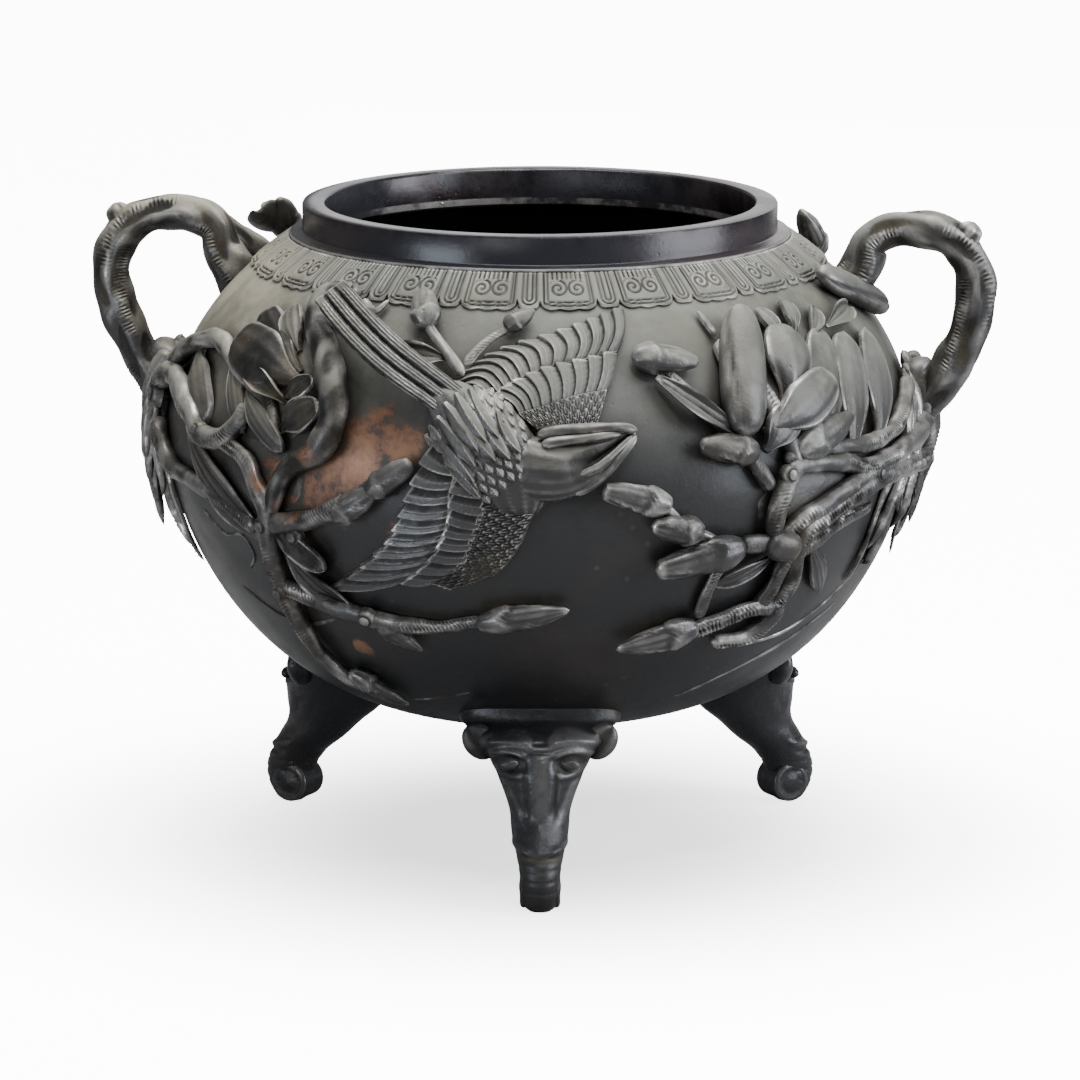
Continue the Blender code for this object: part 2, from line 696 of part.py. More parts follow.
# A level section: its height as a share of the joint's, how far it leans in from the pad's reach to
# the bowl's skin, and its outer edge, inner edge and half width in 84ths of the joint's height
FOOT_SECTIONS = (
    (1.10, 1.00, 6.0, -24, 34),
    (0.975, 1.00, 8.0, -24, 37),
    (0.93, 0.90, 17.0, -25, 33),
    (0.845, 0.80, 20.0, -28, 27),
    (0.737, 0.70, 20.7, -32, 21.5),
    (0.62, 0.50, 15.3, -33.5, 17),
    (0.51, 0.35, 10.0, -27, 14),
    (0.405, 0.20, 10.7, -22, 13),
    (0.31, 0.10, 13.0, -15, 11),
    (0.20, 0.0, 13.0, -12, 9.3),
    (0.107, 0.0, 12.0, -12, 9.2),
    (0.03, 0.0, 8.0, -8, 7.5),
    (0.0, 0.0, 5.0, -5, 5.0),
)

# The trunk's curled tip behind the pad's middle, in the same units
CURL_BACK = 3
CURL_HALF = 9.6
CURL_HEIGHT = 10.7
CURL_RADIUS = 8.8

# An ear and an eye: the lean of the foot's line there, then in the same units the middle's reach
# from that line, its side and its height, half the length along each of these, and two radii
EAR = (0.84, (3.6, 27.5, 73.5), (1, 5.5, 7.5), (7.5, 5.5))
EYE = (0.75, (16.4, 13.5, 66.8), (0.5, 2.8, 0.6), (4.5, 5))
LUMP_SIDES = 5
LUMP_SHARES = (0.6, 1.0, 0.6)


def foot_point(bearing, reach, side, height):
    """A point by its reach from the axis, its offset to one side and its height."""
    return outward(bearing) * reach + outward(bearing + 90) * side + Vector((0, 0, height))


def foot_line(lean):
    """How far out the foot's line is, from the pad's reach, 0, to the bowl's skin, 1."""
    return FOOT_REACH + (bowl_radius(FOOT_TOP) - FOOT_REACH) * lean


def foot_loft(bearing):
    """The mask and its trunk, as level oval sections from the keel down to a flat pad."""
    points = []
    for height, lean, outer, inner, half in FOOT_SECTIONS:
        middle = foot_line(lean) + (outer + inner) / 2 * FOOT_UNIT
        depth = (outer - inner) / 2 * FOOT_UNIT
        for side in range(FOOT_SIDES):
            turn = 2 * math.pi * side / FOOT_SIDES
            reach = middle + depth * math.cos(turn)
            points.append(foot_point(bearing, reach, half * FOOT_UNIT * math.sin(turn), FOOT_TOP * height))
    faces = ring_faces(len(FOOT_SECTIONS), FOOT_SIDES)
    last = (len(FOOT_SECTIONS) - 1) * FOOT_SIDES
    faces.append(tuple(range(FOOT_SIDES)))
    faces.append(tuple(last + side for side in range(FOOT_SIDES)))
    return solid_mesh("mask", points, faces)


def foot_lump(bearing, line, middle, end, radii):
    """An ear or an eye beside the foot's line, thickest at its middle."""
    points = []
    for sign in (-1, 0, 1):
        reach, side, height = ((m + e * sign) * FOOT_UNIT for m, e in zip(middle, end))
        points.append(foot_point(bearing, line + reach, side, height))
    ups = [outward(bearing)] * len(points)
    wide, deep = ([radius * FOOT_UNIT * share for share in LUMP_SHARES] for radius in radii)
    return tube("lump", points, ups, wide, deep, LUMP_SIDES)


def foot_meshes(bearing):
    """A mask foot: the head and trunk, the trunk's curled tip, two ears and two eyes."""
    reach = FOOT_REACH - CURL_BACK * FOOT_UNIT
    ends = (-CURL_HALF * FOOT_UNIT, CURL_HALF * FOOT_UNIT)
    curl = [foot_point(bearing, reach, side, CURL_HEIGHT * FOOT_UNIT) for side in ends]
    ups = [Vector((0, 0, 1))] * len(curl)
    radii = [CURL_RADIUS * FOOT_UNIT] * len(curl)
    meshes = [foot_loft(bearing), tube("curl", curl, ups, radii, radii, FOOT_SIDES)]
    for lean, middle, end, size in (EAR, EYE):
        for side in (-1, 1):
            here, there = ((place[0], side * place[1], place[2]) for place in (middle, end))
            meshes.append(foot_lump(bearing, foot_line(lean), here, there, size))
    return meshes


def main():
    """Builds the bowl and what is applied to it."""
    clear_scene()
    dark = metal("patinated_bronze", BRONZE)
    worn = metal("relief_bronze", WORN_BRONZE)
    helpers = bpy.data.collections.new("cutters")
    bpy.context.scene.collection.children.link(helpers)
    cutter = add_helper("bowl_clearance", turned("bowl_clearance", clearance_outline()), helpers)
    unite("bowl", [bowl_mesh(), lappet_mesh()], dark)
    left = [handle_tube(-1, LOOP), handle_tube(-1, STUB, sides=6), handle_tube(-1, FORK, FORK_TURNS)]
    apply_to_bowl("branch_handle_left", [*left, roots(-1), *left_spray()], worn, cutter)
    right = [handle_tube(1, LOOP), handle_tube(1, STUB, sides=6)]
    apply_to_bowl("branch_handle_right", [*right, roots(1), *right_spray()], worn, cutter)
    apply_to_bowl("bird", bird_meshes(), worn, cutter)
    for name, bearing in FOOT_BEARINGS.items():
        apply_to_bowl(name, foot_meshes(bearing), dark, cutter)


main()
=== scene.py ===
"""Dresses the bronze jardiniere: its fine relief, its aged finishes and a plain studio.

Lengths in the relief are millimetres, and a mesh turns them into metres. A place on the bowl is a
bearing, which turns from the front (-Y) towards +X, and a latitude, which climbs from the belly
line to the shoulder and falls to -90 under the bowl, both in degrees. A lift is a distance out
from the bowl's skin.
"""

import logging
import math
from collections.abc import Callable
from dataclasses import dataclass, field
from enum import Enum

import bpy
import numpy as np
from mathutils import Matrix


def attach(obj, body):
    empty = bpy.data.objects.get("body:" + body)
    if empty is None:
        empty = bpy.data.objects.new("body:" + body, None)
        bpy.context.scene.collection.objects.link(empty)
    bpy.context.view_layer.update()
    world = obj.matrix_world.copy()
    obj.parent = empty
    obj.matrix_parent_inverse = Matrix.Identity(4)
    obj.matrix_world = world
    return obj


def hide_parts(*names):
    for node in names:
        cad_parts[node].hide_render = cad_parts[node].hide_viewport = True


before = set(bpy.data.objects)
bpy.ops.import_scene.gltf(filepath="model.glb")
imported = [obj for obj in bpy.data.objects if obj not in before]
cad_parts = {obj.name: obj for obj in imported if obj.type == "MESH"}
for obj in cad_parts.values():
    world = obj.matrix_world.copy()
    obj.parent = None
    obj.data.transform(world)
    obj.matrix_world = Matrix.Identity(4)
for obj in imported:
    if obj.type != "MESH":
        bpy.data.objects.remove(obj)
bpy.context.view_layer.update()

log = logging.getLogger("jardiniere")

MM = 0.001
TURN = 2 * math.pi


# Places on the bowl


@dataclass(frozen=True)
class Skin:
    """The bowl's outer skin."""

    belly: float = 175.0
    middle: float = 194.0
    rise: float = 127.0
    drop: float = 131.0
    keel_power: float = 1.6
    keel_fullness: float = 0.34

    def height(self, latitude: np.ndarray) -> np.ndarray:
        """Heights of places at these latitudes."""
        sine = np.sin(np.radians(latitude))
        return self.middle + np.where(sine >= 0, self.rise, self.drop) * sine

    def radius(self, height: np.ndarray) -> np.ndarray:
        """Radii of the skin at these heights."""
        up = np.clip((height - self.middle) / self.rise, 0, 1)
        down = np.clip((self.middle - height) / self.drop, 0, 1)
        shoulder = self.belly * np.sqrt(1 - up**2)
        keel = self.belly * (1 - down**self.keel_power) ** self.keel_fullness
        return np.where(height >= self.middle, shoulder, keel)

    def out(self, bearing: np.ndarray) -> np.ndarray:
        """Level unit vectors away from the axis."""
        turn = np.radians(np.asarray(bearing, float))
        return np.stack([np.sin(turn), -np.cos(turn), np.zeros_like(turn)], -1)

    def normal(self, bearing: np.ndarray, latitude: np.ndarray) -> np.ndarray:
        """Unit vectors out of the skin."""
        low, high = self.height(np.asarray(latitude) - 0.5), self.height(np.asarray(latitude) + 0.5)
        run, rise = self.radius(high) - self.radius(low), high - low
        up = np.array([0.0, 0.0, 1.0])
        found = self.out(bearing) * rise[..., None] - up * run[..., None]
        return found / np.linalg.norm(found, axis=-1, keepdims=True)

    def point(self, bearing: np.ndarray, latitude: np.ndarray, lift: np.ndarray) -> np.ndarray:
        """Points a lift outside the skin.

        Args:
            bearing: Degrees from the front.
            latitude: Degrees from the belly line.
            lift: Millimetres from the skin.

        Returns:
            An array of points, with one more axis than the places have.
        """
        bearing, latitude, lift = np.broadcast_arrays(
            np.asarray(bearing, float), np.asarray(latitude, float), np.asarray(lift, float)
        )
        height = self.height(latitude)
        on_skin = self.out(bearing) * self.radius(height)[..., None]
        on_skin[..., 2] = height
        return on_skin + self.normal(bearing, latitude) * lift[..., None]


SKIN = Skin()


def unit(vectors: np.ndarray) -> np.ndarray:
    """The same vectors with a length of one."""
    return vectors / np.maximum(np.linalg.norm(vectors, axis=-1, keepdims=True), 1e-9)


def bell(values: np.ndarray, centre: float, width: float) -> np.ndarray:
    """A smooth bump of height one about a centre."""
    return np.exp(-(((values - centre) / width) ** 2))


def step(values: np.ndarray, start: float, end: float) -> np.ndarray:
    """A smooth rise from 0 at the start to 1 at the end."""
    share = np.clip((values - start) / (end - start), 0, 1)
    return share * share * (3 - 2 * share)


def flow(rows: list, count: int | np.ndarray) -> np.ndarray:
    """A smooth run through rows of numbers.

    Args:
        rows: The rows to go through, each of the same length.
        count: How many rows to give back, evenly spread over the given ones, or the shares of the
            way through them at which to take a row.

    Returns:
        An array of rows.
    """
    keys = np.asarray(rows, float)
    keys = np.vstack([2 * keys[0] - keys[1], keys, 2 * keys[-1] - keys[-2]])
    shares = np.linspace(0, 1, count) if isinstance(count, int) else count
    span = shares * (len(rows) - 1)
    index = np.clip(span.astype(int), 0, len(rows) - 2)
    t = (span - index)[:, None]
    a, b, c, d = (keys[index + i] for i in range(4))
    return 0.5 * (2 * b + (c - a) * t + (2 * a - 5 * b + 4 * c - d) * t**2 + (3 * b - a - 3 * c + d) * t**3)


def gone_along(line: np.ndarray) -> np.ndarray:
    """How far along a line each of its points is."""
    return np.concatenate([[0], np.cumsum(np.linalg.norm(np.diff(line, axis=0), axis=1))])


def even_flow(rows: list, place: Callable, pace: float) -> np.ndarray:
    """A smooth run through rows, resampled at an even pace in space.

    Args:
        rows: The rows to go through.
        place: A function that gives the points of an array of rows.
        pace: Millimetres between two samples.

    Returns:
        The resampled rows.
    """
    fine = flow(rows, 24 * len(rows))
    gone = gone_along(place(fine))
    count = max(6, int(gone[-1] / pace))
    wanted = np.linspace(0, gone[-1], count)
    return np.stack([np.interp(wanted, gone, fine[:, k]) for k in range(fine.shape[1])], -1)


# Gathering closed forms into meshes


@dataclass
class Clay:
    """Closed forms that overlap and make up one piece.

    While this darkening is set, it is taken off the carving of what is added, so that the form comes out
    darker, which is painted shade where the form lies in another's shadow.
    """

    points: list = field(default_factory=list)
    quads: list = field(default_factory=list)
    fans: list = field(default_factory=list)
    carved: list = field(default_factory=list)
    count: int = 0
    grime_and_shade: float = 0.0

    def add(self, points: np.ndarray, quads: np.ndarray, fans: np.ndarray, carved: np.ndarray) -> None:
        """Adds one closed form, with its faces turned out.

        Args:
            points: Its vertices.
            quads: Its four-sided faces.
            fans: Its three-sided faces, none or more.
            carved: How far each vertex stands above (+) or below (-) the form's plain surface.
        """
        solid = np.concatenate([quads[:, :3], quads[:, [0, 2, 3]], fans])
        a, b, c = (points[solid[:, k]] for k in range(3))
        if np.einsum("ij,ij->i", a, np.cross(b, c)).sum() < 0:
            quads, fans = quads[:, ::-1], fans[:, ::-1]
        self.points.append(points)
        self.quads.append(quads + self.count)
        self.fans.append(fans + self.count)
        self.carved.append(carved - self.grime_and_shade)
        self.count += len(points)

    def rings(self, rings: np.ndarray, carved: np.ndarray) -> None:
        """Adds a closed form made of rings of points, from one end to the other.

        Args:
            rings: An array of rings by sides by three.
            carved: The carving of each point, rings by sides.
        """
        count, sides = rings.shape[:2]
        ends = np.stack([rings[0].mean(0), rings[-1].mean(0)])
        index = np.arange(count * sides).reshape(count, sides)
        after = np.roll(index, -1, axis=1)
        quads = np.stack([index[:-1], after[:-1], after[1:], index[1:]], -1).reshape(-1, 4)
        start, end = count * sides, count * sides + 1
        fans = np.concatenate([
            np.stack([after[0], index[0], np.full(sides, start)], -1),
            np.stack([index[-1], after[-1], np.full(sides, end)], -1),
        ])
        points = np.concatenate([rings.reshape(-1, 3), ends])
        self.add(points, quads, fans, np.concatenate([carved.ravel(), [0, 0]]))

    def sheet(self, top: np.ndarray, bottom: np.ndarray, carved: np.ndarray) -> None:
        """Adds a closed sheet between two grids of points.

        Args:
            top: The outer grid, rows by columns by three.
            bottom: The inner grid, of the same size.
            carved: The outer grid's carving.
        """
        rows, columns = top.shape[:2]
        index = np.arange(rows * columns).reshape(rows, columns)
        under = index + rows * columns
        face = [index[:-1, :-1], index[:-1, 1:], index[1:, 1:], index[1:, :-1]]
        back = [under[:-1, :-1], under[1:, :-1], under[1:, 1:], under[:-1, 1:]]
        rim = np.concatenate([index[0], index[1:, -1], index[-1, -2::-1], index[-2:0:-1, 0]])
        after = np.roll(rim, -1)
        sides = np.stack([after, rim, rim + rows * columns, after + rows * columns], -1)
        quads = np.concatenate([np.stack(part, -1).reshape(-1, 4) for part in (face, back)] + [sides])
        points = np.concatenate([top.reshape(-1, 3), bottom.reshape(-1, 3)])
        level = np.concatenate([carved.ravel(), np.zeros(rows * columns)])
        self.add(points, quads, np.zeros((0, 3), int), level)

    def make(self, name: str) -> bpy.types.Object:
        """Makes the piece's object.

        Args:
            name: The piece's name.

        Returns:
            The object, in metres and in the frame's place.
        """
        mesh = bpy.data.meshes.new(name)
        faces = np.concatenate(self.quads).tolist() + np.concatenate(self.fans).tolist()
        mesh.from_pydata((np.concatenate(self.points) * MM).tolist(), [], faces)
        # The carving, lowered on forms that were made darker as they were added, in part as painted shade.
        carved = mesh.attributes.new("carved", "FLOAT", "POINT")
        carved.data.foreach_set("value", np.concatenate(self.carved).astype(np.float32))
        mesh.shade_smooth()
        mesh.set_sharp_from_angle(angle=math.radians(48))
        piece = bpy.data.objects.new(name, mesh)
        bpy.context.scene.collection.objects.link(piece)
        return piece


def sweep(
    clay: Clay, line: np.ndarray, ups: np.ndarray, wide: np.ndarray, deep: np.ndarray, relief: np.ndarray
) -> None:
    """Adds a round form along a line.

    Args:
        clay: Where it goes.
        line: The middle points.
        ups: A direction across the line at each point, which the depth lies along.
        wide: Half widths across.
        deep: Half depths.
        relief: The carving, points by sides, which also says how many sides there are.
    """
    along = unit(np.gradient(line, axis=0))
    across = unit(np.cross(along, ups))
    up = np.cross(across, along)
    turn = side_turns(relief.shape[1])
    cos, sin = np.cos(turn)[None, :, None], np.sin(turn)[None, :, None]
    out = across[:, None] * cos + up[:, None] * sin
    rings = line[:, None] + across[:, None] * (wide[:, None, None] * cos)
    rings = rings + up[:, None] * (deep[:, None, None] * sin) + out * relief[:, :, None]
    clay.rings(rings, relief)


def sideways(line: np.ndarray, normal: np.ndarray, axis: int = 0) -> np.ndarray:
    """Unit vectors over the skin to the side of a line, or of each line of a grid."""
    return unit(np.cross(np.gradient(line, axis=axis), normal))


def spread(
    line: np.ndarray, side: np.ndarray, reach: np.ndarray, normal: np.ndarray, lift: np.ndarray
) -> np.ndarray:
    """A grid of points about a line.

    Args:
        line: Its points.
        side: The direction to the side at each.
        reach: How far to the side, rows by columns.
        normal: The direction up at each.
        lift: How far up, rows by columns.

    Returns:
        The points, rows by columns by three.
    """
    return line[:, None] + side[:, None] * reach[..., None] + normal[:, None] * lift[..., None]


def side_turns(sides: int) -> np.ndarray:
    """The angles of a ring's sides, a quarter turn being along its up direction."""
    return TURN * (np.arange(sides) + 0.5) / sides


def rounded(count: int, reach: float = 0.08) -> np.ndarray:
    """Shares that take a form's ends in to round them, one for each section."""
    share = np.linspace(0, 1, count)
    near = np.minimum(share, 1 - share) / reach
    return np.sqrt(np.clip(1 - (1 - np.clip(near, 0, 1)) ** 2, 0.02, 1))


# Branches, buds, leaves and petals


@dataclass
class Grower:
    """Makes what grows over the bowl, in the manner of a wax modeller.

    Its marks are the same on each run, because they come from a seeded source.
    """

    clay: Clay
    seed: int
    twig_sides: int = 16
    twig_pace: float = 0.85
    twig_depth: float = 0.85
    skin_clear: float = 0.8
    bud_depth: float = 0.72
    pod_depth: float = 0.8
    leaf_thick: float = 2.4
    leaf_ribs: int = 4
    petal_thick: float = 3.0

    def __post_init__(self) -> None:
        """Starts the source of the marks."""
        self.marks = np.random.default_rng(self.seed)

    def bark(
        self, gone: np.ndarray, sides: int, radius: np.ndarray, combs: list, ridges: float = 0.12
    ) -> np.ndarray:
        """The bark's relief: soft lumps, long ridges and combs of short cuts.

        Args:
            gone: How far along the branch each section is.
            sides: Points round a section.
            radius: The branch's radius at each section.
            combs: The angles round the branch at which rows of cuts run.
            ridges: The height of the long ridges.

        Returns:
            The carving, sections by sides.
        """
        turn = side_turns(sides)[None, :]
        gone = gone[:, None]
        one, two, three = self.marks.uniform(0, TURN, 3)
        lumps = np.sin(gone / 6.1 + one) + 0.7 * np.sin(gone / 2.9 + two + 2 * turn)
        relief = (lumps + 0.6 * np.sin(gone / 4.3 + three - turn)) * 0.06 * radius[:, None]
        relief = relief + ridges * np.sin(5 * turn + 1.4 * np.sin(gone / 8 + two) + three)
        for place in combs:
            middle = place + 0.3 * np.sin(gone / 19 + self.marks.uniform(0, TURN))
            from_middle = np.angle(np.exp(1j * (turn - middle)))
            band = np.exp(-((from_middle / 0.34) ** 6))
            wave = np.cos(TURN * (gone / 1.9 + 0.35 * from_middle))
            fade = step(np.sin(gone / 15 + self.marks.uniform(0, TURN)), -0.35, 0.25)
            relief = relief + (0.2 - 0.62 * step(wave, 0.0, 0.7)) * band * fade
            groove = np.exp(-(((np.abs(from_middle) - 0.48) / 0.13) ** 2))
            relief = relief - 0.4 * groove * fade
        return relief

    def branch(
        self, stations: list, combs: int = 1, pace: float | None = None, sides: int | None = None
    ) -> None:
        """A branch over the skin.

        Args:
            stations: Rows of bearing, latitude, radius and, where it differs, the clear height.
            combs: Rows of bark cuts.
            pace: Millimetres between its sections.
            sides: Points round a section.
        """
        rows = [(b, a, r, own[0] if own else self.skin_clear) for b, a, r, *own in stations]

        def place(found: np.ndarray) -> np.ndarray:
            """The middle points of these stations."""
            return SKIN.point(found[:, 0], found[:, 1], found[:, 3] + found[:, 2] * self.twig_depth)

        fine = even_flow(rows, place, pace or self.twig_pace)
        line = place(fine)
        gone = gone_along(line)
        ends = rounded(len(line), min(0.3, 4 / gone[-1]))
        radius = fine[:, 2] * ends
        cuts = self.marks.uniform(0.9, 2.3, combs)
        relief = self.bark(gone, sides or self.twig_sides, fine[:, 2], cuts) * ends[:, None]
        normal = SKIN.normal(fine[:, 0], fine[:, 1])
        sweep(self.clay, line, normal, radius, radius * self.twig_depth, relief)

    def stretch(self, base: tuple, tip: tuple, foot: float, rise: float, rows: int) -> tuple:
        """A straight line of points from one place to another.

        Args:
            base: Bearing and latitude of its start.
            tip: Bearing and latitude of its end.
            foot: The lift of its start.
            rise: How much higher its end is.
            rows: How many points it has.

        Returns:
            The shares along it, its points, and the skin's normal halfway.
        """
        share = np.linspace(0, 1, rows)
        start, end = SKIN.point(*base, foot), SKIN.point(*tip, foot + rise)
        normal = SKIN.normal(np.array((base[0] + tip[0]) / 2), np.array((base[1] + tip[1]) / 2))
        return share, start + (end - start) * share[:, None], normal

    def course(self, base: tuple, tip: tuple, lifts: tuple, bow: float, rows: int) -> tuple:
        """A leaf's middle line over the skin.

        Args:
            base: Bearing and latitude of its foot.
            tip: Bearing and latitude of its tip.
            lifts: The lifts of its foot, middle and tip.
            bow: How far it bows sideways.
            rows: How many points it has.

        Returns:
            The shares along it, its points, and the directions up and to the side at each.
        """
        along = np.linspace(0, 1, rows)[:, None]
        low, middle, high = lifts
        bend = 4 * middle - 2 * low - 2 * high
        lift = low + (high - low) * along + bend * along * (1 - along)
        places = np.array(base) + (np.array(tip) - np.array(base)) * along
        line = SKIN.point(places[:, 0], places[:, 1], lift[:, 0])
        normal = SKIN.normal(places[:, 0], places[:, 1])
        side = sideways(line, normal)
        return along, line + side * (bow * np.sin(math.pi * along)), normal, side

    def bud(
        self, base: tuple, tip: tuple, radius: float, clear: float = 0.8, rise: float = 0.0,
        blunt: float = 0.0,
    ) -> None:
        """A closed magnolia bud in its cup of scales.

        Args:
            base: Bearing and latitude of its cup.
            tip: Bearing and latitude of its tip.
            radius: Its greatest radius.
            clear: The clear height under its base.
            rise: How much higher its tip is.
            blunt: How cut off its tip looks, from 0 to 1.
        """
        rows, sides = 28, 30
        share, line, normal = self.stretch(base, tip, clear + radius * self.bud_depth, rise, rows)
        keys = (0.42, 0.78, 0.97, 1.0, 0.93, 0.8 + 0.1 * blunt, 0.52 + 0.25 * blunt, 0.2 + 0.4 * blunt)
        full = flow([(key,) for key in keys], rows)[:, 0] * rounded(rows, 0.05)
        line = line + normal * (radius * 0.12 * np.sin(math.pi * share))[:, None]
        turn, along = side_turns(sides)[None, :], share[:, None]
        twist = self.marks.uniform(0, TURN)
        wrap = np.mod((turn + 1.5 * along + twist) / TURN * 3, 1)
        petals = 0.11 * radius * (wrap**2 - 0.35) * np.sin(math.pi * np.clip(along * 1.05, 0, 1))
        ribs = -0.028 * radius * np.clip(np.cos(turn * 11 + twist + 2 * along), 0, 1)
        ribs = ribs * step(along, 0.2, 0.4)
        edge = 0.3 + 0.1 * np.abs(np.sin(1.5 * (turn + twist)))
        cup = 0.15 * radius * (1 - step(along, edge - 0.035, edge))
        cup_ribs = 0.05 * radius * np.cos(turn * 7 + twist) * (1 - step(along, 0.2, 0.3))
        relief = (petals * step(along, 0.26, 0.4) + ribs + cup + cup_ribs) * full[:, None]
        ups = np.broadcast_to(normal, line.shape)
        sweep(self.clay, line, ups, radius * full, radius * self.bud_depth * full, relief)

    def blade(
        self, base: tuple, tip: tuple, width: float, lifts: tuple, cup: float, bow: float = 0.0,
        point: float = 0.5,
    ) -> None:
        """A leaf or petal whose sides rise by the cup, with ribs and a rolled lip.

        Args:
            base: Bearing and latitude of its foot.
            tip: Bearing and latitude of its tip.
            width: Its greatest width.
            lifts: The lifts of its foot, middle and tip.
            cup: How much its sides rise.
            bow: How far its middle line bows sideways.
            point: How pointed its tip is, from 0 to 1.
        """
        rows, columns = 24, 17
        along, line, normal, side = self.course(base, tip, lifts, bow, rows)
        across = np.linspace(-1, 1, columns)[None, :]
        leaf = np.sin(math.pi * (0.05 + 0.9 * along ** (1 + 0.35 * point))) ** (0.6 + 0.3 * point)
        ruffle = 1 + 0.05 * np.sin(9 * along + self.marks.uniform(0, TURN))
        waver = 0.5 * np.sin(7 * along + 3 * across + self.marks.uniform(0, TURN)) * across**2
        slant = across + 0.12 * (along - 0.5)
        veins = -0.3 * np.clip(np.cos(math.pi * self.leaf_ribs * slant), 0, 1) ** 2
        veins = veins * step(along, 0.02, 0.2) * (1 - step(along, 0.8, 0.97))
        relief = veins + 0.45 * (bell(np.abs(across), 0.92, 0.09) + bell(along, 0.965, 0.03))
        rise = cup * leaf * across**2 + waver
        top = spread(line, side, width / 2 * leaf * ruffle * across, normal, rise + relief)
        thin = self.leaf_thick * (1 - 0.62 * np.abs(across) ** 3) * (0.45 + 0.55 * np.clip(leaf, 0, 1))
        bottom = top - normal[:, None] * (thin + relief)[:, :, None]
        self.clay.sheet(top, bottom, relief)

    def lobe(
        self, base: tuple, tip: tuple, width: float, lifts: tuple, dome: float, lip: float = 0.8,
        bow: float = 0.0,
    ) -> None:
        """A broad petal with a round end, domed or hollow, and a rolled lip.

        Args:
            base: Bearing and latitude of its foot.
            tip: Bearing and latitude of its end.
            width: Its width.
            lifts: The lifts of its foot, middle and end.
            dome: How far its middle stands above its edges, or below them.
            lip: How far its lip stands up.
            bow: How far it bows sideways.
        """
        rows, columns = 26, 21
        along, line, normal, side = self.course(base, tip, lifts, bow, rows)
        across = np.linspace(-1, 1, columns)[None, :]
        wave = 1 + 0.06 * np.sin(7 * along + self.marks.uniform(0, TURN))
        round_end = np.sqrt(np.clip(1 - np.clip((along - 0.6) / 0.4, 0, 1) ** 2.2, 0.004, 1))
        half = width / 2 * (0.22 + 0.78 * step(along, 0, 0.5)) * round_end * wave
        inner = (1 - across**2) * np.sqrt(np.clip(1 - (2 * along - 0.95) ** 4, 0, 1))
        edge = np.maximum(np.abs(across), step(along, 0.55, 1.02))
        streaks = 0.07 * np.cos(across * 11 + 3 * along) * step(along, 0.05, 0.2)
        relief = lip * bell(edge, 0.9, 0.1) + streaks * (1 - step(edge, 0.75, 0.9))
        sag = 0.5 * np.sin(6 * along + 2.5 * across + self.marks.uniform(0, TURN)) * edge**2
        top = spread(line, side, half * across, normal, dome * inner + relief + sag)
        thin = self.petal_thick * (1 - 0.5 * edge**3)
        bottom = top - normal[:, None] * (thin + relief)[:, :, None]
        self.clay.sheet(top, bottom, relief - 0.3 * (dome < 0))

    def pod(
        self, base: tuple, tip: tuple, radius: float, clear: float = 0.8, rise: float = 0.0,
        full_ends: float = 3.2,
    ) -> None:
        """A smooth closed bud with round ends and one seam.

        Args:
            base: Bearing and latitude of one end.
            tip: Bearing and latitude of the other end.
            radius: Its greatest radius.
            clear: The clear height under its base.
            rise: How much higher its tip is.
            full_ends: How full its ends are, 2 for an oval.
        """
        rows, sides = 36, 34
        share, line, normal = self.stretch(base, tip, clear + radius * self.pod_depth, rise, rows)
        full = np.clip(1 - np.abs(2 * share - 1) ** full_ends, 0.004, 1) ** 0.5 * (1 - 0.14 * share)
        turn, along = side_turns(sides)[None, :], share[:, None]
        twist = self.marks.uniform(0, TURN)
        seam = np.angle(np.exp(1j * (turn - 2.1 - 0.9 * along)))
        relief = 0.7 * step(seam, 0.0, 0.25) * (1 - step(seam, 0.3, 2.4))
        relief = relief - 0.45 * bell(seam, -0.05, 0.09)
        relief = (relief + 0.1 * np.sin(9 * along + 2 * turn + twist)) * full[:, None]
        relief = relief * rounded(rows, 0.12)[:, None]
        ups = np.broadcast_to(normal, line.shape)
        sweep(self.clay, line, ups, radius * full, radius * self.pod_depth * full, relief)

    def mound(self, middle: tuple, size: tuple, height: float) -> None:
        """A low uneven rise of the wall under a cluster of forms.

        Args:
            middle: Its bearing and latitude.
            size: Half its size along the bearing and the latitude, in degrees.
            height: Its height.
        """
        rows, columns = 28, 28
        u = np.linspace(-1, 1, rows)[:, None]
        v = np.linspace(-1, 1, columns)[None, :]
        across, up = u * np.sqrt(1 - v**2 / 2), v * np.sqrt(1 - u**2 / 2)
        away = np.hypot(across, up)
        one, two = self.marks.uniform(0, TURN, 2)
        bumps = 1 + 0.22 * np.sin(5 * across + one) * np.cos(4 * up + two)
        lift = height * (1 - step(away, 0.35, 1.0)) * bumps - 0.4 * step(away, 0.9, 1.0)
        bearing, latitude = middle[0] + size[0] * across, middle[1] + size[1] * up
        top = SKIN.point(bearing, latitude, lift)
        self.clay.sheet(top, SKIN.point(bearing, latitude, -0.8), np.zeros(lift.shape))

    def knot(self, bearing: float, latitude: float, radius: float, clear: float = 0.8) -> None:
        """A round knot where a twig has been cut, with a ring round its eye.

        Args:
            bearing: Its bearing.
            latitude: Its latitude.
            radius: Its radius.
            clear: The clear height under it.
        """
        rows, sides = 12, 18
        share = np.linspace(0, 1, rows)
        normal = SKIN.normal(np.array(bearing), np.array(latitude))
        foot = SKIN.point(bearing, latitude, clear)
        line = foot + normal * (radius * 1.35 * share)[:, None]
        full = np.sqrt(np.clip(1 - (share * 0.98) ** 3, 0.03, 1))
        relief = -0.16 * radius * bell(share, 0.8, 0.07)[:, None] * np.ones((1, sides))
        ups = np.broadcast_to(SKIN.out(np.array(bearing + 90.0)), line.shape)
        sweep(self.clay, line, ups, radius * full, radius * full, relief)


# The bowl


